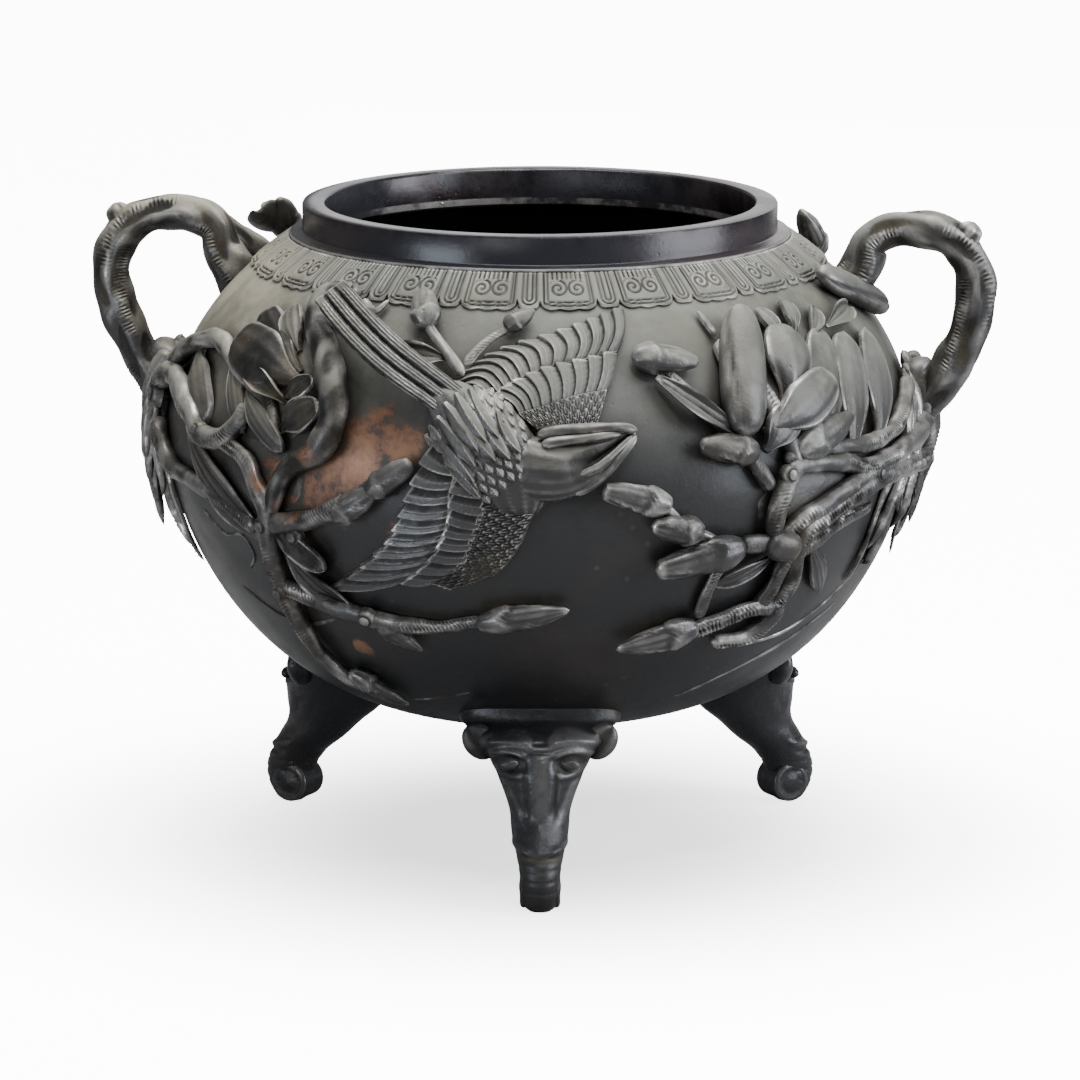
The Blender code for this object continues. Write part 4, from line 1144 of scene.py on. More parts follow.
    def scales(self, front: tuple, inner: tuple, rows: int, count: int, lifts: tuple) -> None:
        """Small round feathers in staggered rows, as one sheet over a wing's front.

        Args:
            front: Places along the front edge, from the body to the wing's tip.
            inner: Places along the line where they end.
            rows: Rows from the front edge to that line.
            count: Feathers in a row.
            lifts: The lifts at the front edge and the inner line by the body, then at the wing's tip.
        """
        high, wide = 7 * rows, 9 * count
        across = np.linspace(0, 1, high)[None, :]
        along = np.linspace(0, 1, wide)
        starts, ends = flow(front, along), flow(inner, along)
        places = starts[:, None] + (ends - starts)[:, None] * across[:, :, None]
        row = across * rows
        place = along[:, None] * count
        found = np.zeros((wide, high))
        for near in (0, 1, 2):
            index = np.floor(row) - near
            offset = np.mod(place + 0.5 * np.mod(index, 2), 1) - 0.5
            inside = (row - index) / 1.75
            outline = 1 - 0.55 * (2 * np.abs(offset)) ** 2.4
            height = 0.5 * inside / outline + 0.1 * np.cos(TURN * offset * 3) - 0.25 * (2 * offset) ** 2
            found = np.where((inside < outline) & (index >= -1), np.maximum(found, height), found)
        by_body, by_tip = np.array(lifts[:2]), np.array(lifts[2:])
        edge = by_body + (by_tip - by_body) * along[:, None]
        lift = edge[:, :1] + (edge[:, 1:] - edge[:, :1]) * across
        lift = lift * np.sqrt(np.clip(1 - (1 - np.clip(across / 0.16, 0, 1)) ** 2, 0, 1))
        proud = 1.7 * (found - 0.25) * step(across, 0, 0.08)
        top = SKIN.point(places[..., 0], places[..., 1], lift + proud)
        bottom = SKIN.point(places[..., 0], places[..., 1], np.full_like(lift, -0.4))
        self.clay.sheet(top, bottom, 1.4 * (found - 0.42))

    def cover(self, bearing: np.ndarray, latitude: np.ndarray) -> np.ndarray:
        """The lift of the body's surface at these places, none beside it."""
        here = SKIN.point(bearing, latitude, 0)
        spine = SKIN.point(self.middle[:, 0], self.middle[:, 1], 0)
        away = np.linalg.norm(here[..., None, :] - spine, axis=-1)
        rise = np.sqrt(np.clip(self.middle[:, 3] ** 2 - away**2, 0, None)) * self.body_depth
        return np.where(away < self.middle[:, 3], self.middle[:, 2] + rise, 0).max(-1)

    def quill(self, base: tuple, tip: tuple, width: float, extra: tuple, bow: float) -> None:
        """A long pointed feather that lies on the body.

        Args:
            base: Bearing and latitude of its root.
            tip: Bearing and latitude of its tip.
            width: Its greatest width.
            extra: How much its root and its tip stand above the body.
            bow: How far it bows sideways.
        """
        rows, columns = (26, 13) if width > 6.5 else (12, 7)
        along = np.linspace(0, 1, rows)[:, None]
        across = np.linspace(-1, 1, columns)[None, :]
        places = np.array(base) + (np.array(tip) - np.array(base)) * along
        bearing, latitude = places[:, 0], places[:, 1]
        normal = SKIN.normal(bearing, latitude)
        side = sideways(SKIN.point(bearing, latitude, 0), normal)
        full = np.clip(np.sin(math.pi * np.clip(0.12 + 0.88 * along**1.3, 0, 1)), 0.02, 1) ** 0.8
        above = extra[0] + (extra[1] - extra[0]) * along[:, 0]
        lift = np.maximum(self.cover(bearing, latitude), 3.0) + above
        barbs = 0.1 * np.cos(TURN * (along * 15 + np.abs(across) * 1.3)) * (1 - bell(across, 0, 0.15))
        relief = 0.7 * (1 - across**2) + 0.3 * bell(across, 0, 0.1) + barbs
        relief = relief - 0.25 * step(np.abs(across), 0.9, 1)
        line = SKIN.point(bearing, latitude, lift) + side * (bow * np.sin(math.pi * along))
        droop = across**2 * width * 0.1
        top = spread(line, side, width / 2 * full * across, normal, relief - droop)
        bottom = top - normal[:, None] * (1.7 + relief)[:, :, None]
        self.clay.sheet(top, bottom, relief - 0.5)

    def wings(self) -> None:
        """Both wings: the flights, the coverts over their roots, and the scales."""
        coverts = self.past(self.lower_inner, self.lower_divider)
        scales = self.past(self.lower_front, self.lower_inner)
        self.clay.grime_and_shade = 0.28
        self.shingles(
            self.lower_divider, self.lower_back, 10, (6.4, 4.6, 4.6, 2.4), 1.7, (-1.2, -2.2), False
        )
        self.shingles(self.lower_inner, coverts, 9, (7.6, 7.0, 5.2, 4.8), 1.5, (-0.6, -1.2), False)
        self.scales(self.lower_front, scales, 7, 14, (6.4, 8.6, 4.0, 5.6))
        coverts = self.past(self.upper_inner, self.upper_divider)
        scales = self.past(self.upper_front, self.upper_inner)
        self.clay.grime_and_shade = 0.0
        self.shingles(
            self.upper_divider, self.upper_back, 13, (5.4, 3.2, 2.4, 1.8), 1.5, (6.5, 2.2), True
        )
        self.shingles(self.upper_inner, coverts, 9, (7.0, 6.2, 3.6, 3.4), 1.3, (3.0, 1.0), True)
        self.scales(self.upper_front, scales, 5, 10, (7.4, 8.0, 3.4, 4.4))

    @staticmethod
    def past(start: tuple, end: tuple, share: float = 1.1) -> list:
        """A line a little past the second one, so that one row overlaps the next."""
        first, second = flow(start, 8), flow(end, 8)
        return (first + (second - first) * share).tolist()

    def tail(self) -> None:
        """Three long rounded feathers side by side, that leave the wall towards the tail's tip."""
        rows, columns = 80, 55
        fine = flow(self.tail_line, rows)
        line = SKIN.point(fine[:, 0], fine[:, 1], fine[:, 2])
        normal = SKIN.normal(fine[:, 0], fine[:, 1])
        side = sideways(line, normal)
        across = np.linspace(-1, 1, columns)[None, :]
        share = np.linspace(0, 1, rows)[:, None]
        tube = np.mod(1.5 * across + 0.5, 1) * 2 - 1
        tube[:, -1] = 1
        ends = 0.93 + 0.06 * bell(across, 0, 0.4) - 0.05 * tube**2
        reach = np.sqrt(np.clip(1 - step(share, ends - 0.09, ends + 0.02) ** 2, 0.02, 1))
        ridge = 1.9 * np.sqrt(np.clip(1 - tube**2, 0, 1)) - 0.8
        lines = 0.2 * np.cos(TURN * tube * 2) + 0.08 * np.cos(TURN * (share * 60 + np.abs(tube)))
        relief = ridge + lines * step(share, 0.04, 0.1)
        beside = fine[:, 3][:, None] / 2 * across
        top = spread(line, side, beside, normal, relief * reach)
        bottom = spread(line, side, beside, normal, -(3.4 - 0.8 * np.abs(across)) * reach)
        self.clay.sheet(top, bottom, relief - 1.0)

    def body(self) -> None:
        """The back and breast with fine hatching, and the long feathers of the back."""
        sides, pace = 90, 0.8
        fine = even_flow(self.spine, lambda found: SKIN.point(*found.T[:3]), pace)
        line = SKIN.point(*fine.T[:3])
        ends = rounded(len(line), 0.12)
        gone = np.arange(len(line))[:, None] * pace
        turn = side_turns(sides)[None, :]
        flutes = 0.32 * np.cos(turn * 13 + gone / 7 + 0.6 * np.sin(gone / 5)) * step(gone, 1, 6)
        hatch = 0.09 * np.cos(TURN * (gone / 1.25 + turn * 2.2))
        relief = (0.5 * flutes + hatch) * ends[:, None]
        radius = fine[:, 3] * ends
        sweep(self.clay, line, SKIN.normal(*fine.T[:2]), radius, radius * self.body_depth, relief)
        for row in range(9):
            length, width = 10 - 0.5 * row, 6.4 - 0.28 * row
            for place in range(8):
                down, aside = 4.4 * row - 3, 4.9 * (place - 3.5 + 0.5 * (row % 2))
                base, tip = self.beside(down, aside), self.beside(down + length, aside * 0.93)
                self.quill(base, tip, width, (-1.6, 0.35 + 0.25 * (place % 2)), 0.05 * aside)
        for down, aside, length, width, bow in self.back_feathers:
            base, tip = self.beside(down, aside), self.beside(down + length, aside * 0.8)
            self.quill(base, tip, width, (-0.2, 2.4), bow)

    def beside(self, down: float, aside: float) -> tuple:
        """The bearing and latitude this far down the back and this far to its side, in millimetres."""
        along, across = self.body_axis
        return (
            -12.4 + (along * down - across * aside) / self.degree_across,
            18 + (across * down + along * aside) / self.degree_up,
        )

    def head(self) -> None:
        """The smooth head with its eye, and a ridged beak."""
        rows, sides = 60, 56
        fine = flow(self.skull, rows)
        line = SKIN.point(*fine.T[:3])
        ends = rounded(rows, 0.05)
        turn = side_turns(sides)[None, :]
        share = np.linspace(0, 1, rows)[:, None]
        relief = 0.2 * np.cos(turn * 15 + 4 * share) * bell(share, 0.1, 0.24)
        relief = relief + 0.03 * np.sin(5 * turn + 21 * share)
        gape = bell(turn, math.pi / 2 - 0.1, 0.5) * step(share, 0.28, 0.5) * (1 - step(share, 0.84, 0.96))
        relief = (relief - 4.2 * gape) * ends[:, None]
        radius = fine[:, 3] * ends
        sweep(self.clay, line, SKIN.normal(*fine.T[:2]), radius, radius * 0.74, relief)
        grow = self.grower
        for route in (
            [(-0.4, 13.8, 2.8, 8), (4, 14.6, 2.6, 8.6), (9.0, 14.9, 2.3, 8.2), (12, 14.8, 2.6, 7.4),
             (14, 14.4, 1.9, 6.8)],
            [(0.2, 12.0, 2.4, 10), (4, 12.7, 2.4, 10.4), (8.8, 13.3, 2.0, 9), (11.6, 13.7, 1.5, 8)],
            [(4.6, 3.2, 2.2, 6.6), (8.0, 5.6, 2.4, 7.0), (11.2, 9.8, 2.3, 7.0), (13.8, 13.4, 1.7, 6.8)],
            [(5.4, 6.6, 1.7, 10.6), (8.4, 8.2, 1.8, 10.2), (11.2, 11.2, 1.7, 8.6), (13.2, 13.4, 1.2, 7.6)],
        ):
            grow.branch(route, combs=0, sides=20)
        grow.knot(11.6, 14.6, 2.2, clear=8.6)
        grow.knot(2.8, 5.0, 2.0, clear=10.6)

    def sprigs(self) -> None:
        """Two thin stems with buds that come out behind the bird's back."""
        grow = self.grower
        stem = [(-12, 25, 2.6, 3), (-15, 29, 2.4, 3), (-17.5, 32, 2.2, 3), (-20, 35, 2.6, 3)]
        grow.branch(stem, sides=14)
        grow.bud((-19.5, 34), (-23, 42), 6.5, clear=2)
        grow.blade((-15.5, 28.5), (-25, 27.5), 14, (3, 7, 5), 3, point=1)
        grow.branch([(-12, 27, 2.4, 3), (-9, 32, 2, 2.6), (-5, 35, 2, 2.6)], sides=14)
        grow.bud((-6, 34.5), (-1, 38.5), 4.6, clear=2)

    def build(self) -> bpy.types.Object:
        """Makes the bird as one piece."""
        self.wings()
        self.body()
        self.tail()
        self.head()
        self.sprigs()
        return self.clay.make("bird_dressed")


# The feet


@dataclass
class Foot:
    """A foot: the head of a beast whose trunk comes down to a curled tip."""

    name: str
    bearing: float
    pad: float = 139.0
    wall: float = 108.3
    sections: tuple = (
        (92.4, 1.00, 6.0, -24, 34), (81.9, 1.00, 8.0, -24, 37), (78.1, 0.90, 17.0, -25, 33),
        (71.0, 0.80, 20.0, -28, 27), (61.9, 0.70, 20.7, -32, 21.5), (52.1, 0.50, 15.3, -33.5, 17),
        (42.8, 0.35, 10.0, -27, 14), (34.0, 0.20, 10.7, -22, 13), (26.0, 0.10, 13.0, -15, 11),
        (16.8, 0.0, 13.0, -12, 9.3), (9.0, 0.0, 12.0, -12, 9.2), (2.5, 0.0, 8.0, -8, 7.5),
        (0.0, 0.0, 5.0, -5, 5.0),
    )
    curl_reach: float = 136.0
    curl_height: float = 10.2
    curl_radius: float = 9.6
    curl_half: float = 9.6
    ear_lean: float = 0.84
    eye_lean: float = 0.75

    def __post_init__(self) -> None:
        """Makes the clay."""
        self.clay = Clay()

    def place(self, reach: np.ndarray, side: np.ndarray, height: np.ndarray) -> np.ndarray:
        """Points by their reach from the axis, their offset to one side and their height."""
        found = SKIN.out(self.bearing) * np.asarray(reach)[..., None]
        found = found + SKIN.out(self.bearing + 90) * np.asarray(side)[..., None]
        found[..., 2] = np.maximum(height, 0)
        return found

    def face(self, side: np.ndarray, height: np.ndarray, front: np.ndarray) -> np.ndarray:
        """The carving of the mask and the trunk.

        Args:
            side: Offsets from the middle line.
            height: Heights.
            front: How far each place faces forward, from 0 to 1.

        Returns:
            Lifts in millimetres.
        """
        away = np.abs(side)
        beside = step(away, 5, 9)
        brow = 2.2 * bell(height, 77.5 - 0.02 * (away - 12) ** 2, 2.6) * step(away, 2, 7)
        brow = brow + 1.3 * bell(height, 71.8 - 0.03 * (away - 14) ** 2, 1.7) * beside
        lower = 1.0 * bell(height, 61.5 + 0.03 * (away - 13) ** 2, 1.6) * beside
        lower = lower * (1 - step(away, 19, 24))
        socket = -1.6 * np.exp(-(((away - 13.5) / 7.5) ** 2 + ((height - 66.8) / 4.4) ** 2) ** 2)
        cheek = 1.7 * bell(away, 16.5 - 0.42 * (58 - height), 2.4)
        cheek = cheek * step(height, 36, 44) * (1 - step(height, 56, 60))
        nose = 0.9 * bell(side, 0, 5.6) * step(height, 26, 40) * (1 - step(height, 70, 80))
        groove = bell(away, 7.0 - 0.06 * (60 - height), 1.2)
        nose = nose - groove * step(height, 38, 50) * (1 - step(height, 66, 72))
        frown = -0.7 * (0.5 + 0.5 * np.cos(TURN * height / 3.6)) ** 2
        frown = frown * bell(side, 0, 4.5) * step(height, 68, 71)
        lip = 1.5 * bell(height, 29.5 + 0.25 * (away - 8), 1.7) * step(away, 2.5, 7)
        lip = lip - 1.0 * bell(height, 25.5, 1.5)
        ring = -0.35 * (0.5 + 0.5 * np.cos(TURN * height / 5.2)) ** 3
        ring = ring * (1 - step(height, 22, 26)) * step(height, 6, 9)
        return (brow + lower + socket + cheek + nose + frown + lip) * step(front, 0, 0.25) + ring

    def head(self) -> None:
        """The mask and the trunk, from under the bowl down to the pad."""
        rows, sides = 170, 120
        keys = []
        for height, lean, outer, inner, half in self.sections:
            middle = self.pad + (self.wall - self.pad) * lean
            keys.append((height, middle + outer, middle + inner, half))
        fine = flow(keys, rows)
        height = np.clip(fine[:, :1], 0, None)
        turn = side_turns(sides)[None, :]
        middle, depth = (fine[:, 1:2] + fine[:, 2:3]) / 2, (fine[:, 1:2] - fine[:, 2:3]) / 2
        front = np.clip(np.cos(turn), 0, 1)
        side = fine[:, 3:4] * np.sign(np.sin(turn)) * np.abs(np.sin(turn)) ** 0.9
        relief = self.face(side, height + 0 * turn, front) * step(height, 0.5, 4)
        reach = middle + depth * np.cos(turn) + relief * np.cos(turn)
        side = side + relief * np.sin(turn) * 0.6
        self.clay.rings(self.place(reach, side, height + 0 * turn), relief)

    def curl(self) -> None:
        """The curled tip, with a round groove on both of its sides."""
        rows, sides = 44, 56
        turn = side_turns(sides)[None, :]
        share = np.linspace(-1, 1, rows)[:, None]
        past = np.clip((np.abs(share) - 0.62) / 0.38, 0, 1)
        reach = np.sqrt(np.clip(1 - past**2, 0.01, 1))
        along = self.curl_half * np.sin(share * math.pi / 2) * (0.93 + 0.07 * np.abs(share))
        away = self.curl_radius * reach
        groove = -1.1 * bell(away, 5.6, 1.0) * step(np.abs(share), 0.66, 0.8)
        along = (along + np.sign(share) * groove) * np.ones_like(turn)
        radius = away * np.ones_like(turn)
        reach, height = radius * np.cos(turn), radius * np.sin(turn)
        points = self.place(self.curl_reach + reach, along, self.curl_height + height)
        self.clay.rings(points, groove * np.ones_like(turn))

    def lump(self, middle: tuple, end: tuple, radii: tuple, hollow: float) -> None:
        """An ear or an eye on both sides.

        Args:
            middle: The reach, side and height of its middle.
            end: Half its length along each of these.
            radii: Its half width and half depth.
            hollow: How deep the groove along it is.
        """
        rows, sides = 30, 32
        share = np.linspace(-1, 1, rows)
        full = np.sqrt(np.clip(1 - share**2 * 0.98, 0, 1))
        for sign in (-1, 1):
            reach, side, height = (m + e * share for m, e in zip(middle, end))
            line = self.place(reach, sign * side, height)
            ups = np.broadcast_to(SKIN.out(np.array(float(self.bearing))), line.shape)
            turn = side_turns(sides)[None, :]
            relief = -hollow * bell(turn, math.pi / 2, 0.5) * full[:, None]
            sweep(self.clay, line, ups, radii[0] * full, radii[1] * full, relief)

    def build(self) -> bpy.types.Object:
        """Makes the foot as one piece."""
        self.head()
        self.curl()
        ear, eye = (self.pad + (self.wall - self.pad) * lean for lean in (self.ear_lean, self.eye_lean))
        self.lump((ear + 3.6, 27.5, 73.5), (1, 5.5, 7.5), (7.5, 5.5), 2.2)
        self.lump((eye + 16.6, 13.5, 66.6), (0.2, 4.4, -0.6), (2.9, 2.8), 0.0)
        return self.clay.make(f"{self.name}_dressed")


# Node trees


# Bare coppery places: the middle in metres, the reach and how soft the edge is
WALL_PATCHES = (
    ((-0.066, -0.156, 0.222), 0.017, 0.009),
    ((-0.080, -0.148, 0.210), 0.022, 0.009),
    ((-0.094, -0.142, 0.194), 0.015, 0.008),
    ((-0.058, -0.164, 0.176), 0.013, 0.008),
    ((-0.080, -0.122, 0.118), 0.006, 0.004),
)
RELIEF_PATCHES = (
    ((-0.124, -0.128, 0.200), 0.010, 0.006),
    ((-0.112, -0.138, 0.186), 0.009, 0.006),
    ((-0.128, -0.112, 0.238), 0.006, 0.005),
    ((-0.104, -0.148, 0.214), 0.007, 0.005),
    ((-0.153, 0.0, 0.268), 0.009, 0.006),
    ((-0.152, -0.006, 0.280), 0.009, 0.006),
    ((-0.150, -0.012, 0.291), 0.008, 0.006),
    ((-0.094, -0.150, 0.146), 0.005, 0.004),
)


@dataclass
class Tree:
    """A node tree with short calls for the nodes in use here."""

    tree: bpy.types.NodeTree

    def node(self, kind: str, values: dict | None = None, **settings) -> bpy.types.Node:
        """A node with these settings.

        Args:
            kind: Its type, without the word ShaderNode.
            values: Its input sockets by name or number, each a value or a socket to link.
            settings: Its own properties.

        Returns:
            The node.
        """
        made = self.tree.nodes.new(f"ShaderNode{kind}")
        for name, value in settings.items():
            setattr(made, name, value)
        for key, value in (values or {}).items():
            self.put(made.inputs[key], value)
        return made

    def put(self, socket: bpy.types.NodeSocket, value: object) -> None:
        """Links a socket to another one, or sets its value."""
        if isinstance(value, bpy.types.NodeSocket):
            self.tree.links.new(value, socket)
        else:
            socket.default_value = value

    def math(self, operation: str, *values: object, clamp: bool = False) -> bpy.types.NodeSocket:
        """The result of a sum."""
        made = self.node("Math", operation=operation, use_clamp=clamp)
        for socket, value in zip(made.inputs, values):
            self.put(socket, value)
        return made.outputs[0]

    def chain(self, operation: str, values: tuple, clamp: bool = False) -> bpy.types.NodeSocket:
        """The result of the same sum over all of the values."""
        found = values[0]
        for value in values[1:]:
            found = self.math(operation, found, value, clamp=clamp)
        return found

    def times(self, *values: object, clamp: bool = False) -> bpy.types.NodeSocket:
        """The product of the values."""
        return self.chain("MULTIPLY", values, clamp)

    def plus(self, *values: object) -> bpy.types.NodeSocket:
        """The values added up."""
        return self.chain("ADD", values)

    def most(self, *values: object) -> bpy.types.NodeSocket:
        """The greatest of the values."""
        return self.chain("MAXIMUM", values)

    def less(self, first: object, second: object, clamp: bool = False) -> bpy.types.NodeSocket:
        """The first value less the second."""
        return self.math("SUBTRACT", first, second, clamp=clamp)

    def place(self) -> bpy.types.NodeSocket:
        """The place on the object."""
        return self.node("TexCoord").outputs["Object"]

    def part(self, vector: object, axis: int) -> bpy.types.NodeSocket:
        """One of a vector's three parts."""
        return self.node("SeparateXYZ", {0: vector}).outputs[axis]

    def noise(
        self, place: object, scale: float, detail: float = 4.0, rough: float = 0.55
    ) -> bpy.types.NodeSocket:
        """Clouded noise from about 0.3 to 0.7."""
        values = {"Vector": place, "Scale": scale, "Detail": detail, "Roughness": rough}
        return self.node("TexNoise", values).outputs["Fac"]

    def remap(
        self, value: object, low: float, high: float, to_low: float = 0.0, to_high: float = 1.0
    ) -> bpy.types.NodeSocket:
        """A value taken smoothly from one range to another."""
        values = {"Value": value, "From Min": low, "From Max": high, "To Min": to_low, "To Max": to_high}
        return self.node("MapRange", values, interpolation_type="SMOOTHSTEP").outputs["Result"]

    def mix(self, share: object, first: object, second: object) -> bpy.types.NodeSocket:
        """The first colour going to the second as the share goes to 1."""
        made = self.node("Mix", data_type="RGBA")
        for key, value in ((0, share), (6, first), (7, second)):
            self.put(made.inputs[key], value)
        return made.outputs[2]


def shared_group(name: str, inputs: dict, outputs: tuple, draw: Callable) -> bpy.types.NodeTree:
    """Makes a node group for the effects that several finishes share.

    Args:
        name: Its name.
        inputs: Names of its inputs, each with its value to start with.
        outputs: Names of its outputs, each a mask or a height.
        draw: A function of the tree and the group's input node that gives the output sockets by name.

    Returns:
        The group.
    """
    group = bpy.data.node_groups.new(name, "ShaderNodeTree")
    for key, value in inputs.items():
        socket = group.interface.new_socket(key, in_out="INPUT", socket_type="NodeSocketFloat")
        socket.default_value = value
    for key in outputs:
        group.interface.new_socket(key, in_out="OUTPUT", socket_type="NodeSocketFloat")
    start, end = group.nodes.new("NodeGroupInput"), group.nodes.new("NodeGroupOutput")
    for key, socket in draw(Tree(group), start).items():
        group.links.new(socket, end.inputs[key])
    return group


def draw_weather(tree: Tree, start: bpy.types.Node) -> dict:
    """Where dust settles, where hands have worn the edges, and where the hollows are darkened by deposits
    and by painted shade from occlusion.
    """
    place = tree.place()
    geometry = tree.node("NewGeometry").outputs
    point = geometry["Pointiness"]
    carved = tree.node("Attribute", attribute_name="carved").outputs["Fac"]
    clouds = tree.noise(place, 22, 6, 0.62)
    fine = tree.noise(place, 160, 5, 0.6)
    up = tree.remap(tree.part(geometry["Normal"], 2), start.outputs["Dust from"], start.outputs["Dust full"])
    high = tree.remap(tree.part(place, 2), 0.15, 0.27)
    patchy = tree.remap(tree.plus(clouds, tree.times(fine, 0.35)), 0.45, 0.8, 0.55, 1.0)
    edges = tree.remap(point, 0.504, 0.555)
    proud = tree.times(tree.remap(carved, 0.2, 1.0), 0.5)
    uneven = tree.plus(tree.noise(place, 70, 5, 0.6), tree.noise(place, 9, 3, 0.5))
    wear = tree.times(tree.most(edges, proud), tree.remap(uneven, 0.85, 1.2), clamp=True)
    # Occlusion by the nearby surface: painted shade that darkens the hollows and keeps dust off them, over
    # the real deposits there.
    occlusion_shade = tree.node("AmbientOcclusion", {"Distance": 0.012}, samples=3).outputs["AO"]
    deep = tree.remap(occlusion_shade, 0.8, 0.3)
    low = tree.most(tree.remap(point, 0.49, 0.42), tree.remap(carved, -0.15, -0.6), deep)
    hollow = tree.times(low, tree.remap(fine, 0.3, 0.6, 0.6, 1.0), clamp=True)
    kept_off = tree.most(tree.times(deep, 0.75), tree.remap(carved, -0.3, -0.9))
    dust = tree.times(up, high, patchy, tree.less(1.0, kept_off))
    return {"Dust": dust, "Wear": wear, "Hollow": hollow, "Clouds": clouds}


def draw_patches(tree: Tree, start: bpy.types.Node) -> dict:
    """Where the dark skin has gone and the reddish ground shows, and where small pale spots lie."""
    place = tree.place()
    broken = tree.noise(place, 75, 6, 0.68)
    here = start.outputs["Relief"]
    found = []
    for patches, chosen in ((WALL_PATCHES, tree.less(1.0, here)), (RELIEF_PATCHES, here)):
        for centre, reach, edge in patches:
            away = tree.node("VectorMath", {0: place, 1: centre}, operation="DISTANCE").outputs["Value"]
            away = tree.plus(away, tree.times(tree.less(broken, 0.5), 2.2 * edge))
            found.append(tree.times(tree.remap(away, reach, reach - 0.7 * edge), chosen))
    spots = tree.node("TexVoronoi", {"Vector": place, "Scale": 95.0}).outputs["Distance"]
    some = tree.remap(tree.noise(place, 19, 3, 0.6), 0.5, 0.62)
    spots = tree.times(tree.remap(spots, 0.17, 0.06), some)
    return {"Copper": tree.most(*found), "Broken": broken, "Spots": spots}


def draw_skin(tree: Tree, start: bpy.types.Node) -> dict:
    """The unevenness of an old casting: soft pits, pinholes and a fine grain."""
    place = tree.place()
    grain = tree.noise(place, start.outputs["Grain"], 6, 0.65)
    soft = tree.noise(place, 46, 4, 0.5)
    cells = tree.node("TexVoronoi", {"Vector": place, "Scale": 210.0}).outputs["Distance"]
    rare = tree.remap(tree.noise(place, 34, 2, 0.5), 0.55, 0.68)
    pits = tree.times(tree.remap(cells, 0.22, 0.08), rare, start.outputs["Pits"])
    lumps = tree.times(tree.noise(place, 135, 4, 0.6), start.outputs["Lumps"])
    height = tree.plus(tree.times(grain, 0.4), tree.times(soft, 0.7), lumps)
    return {"Height": tree.less(height, pits)}


# Finishes


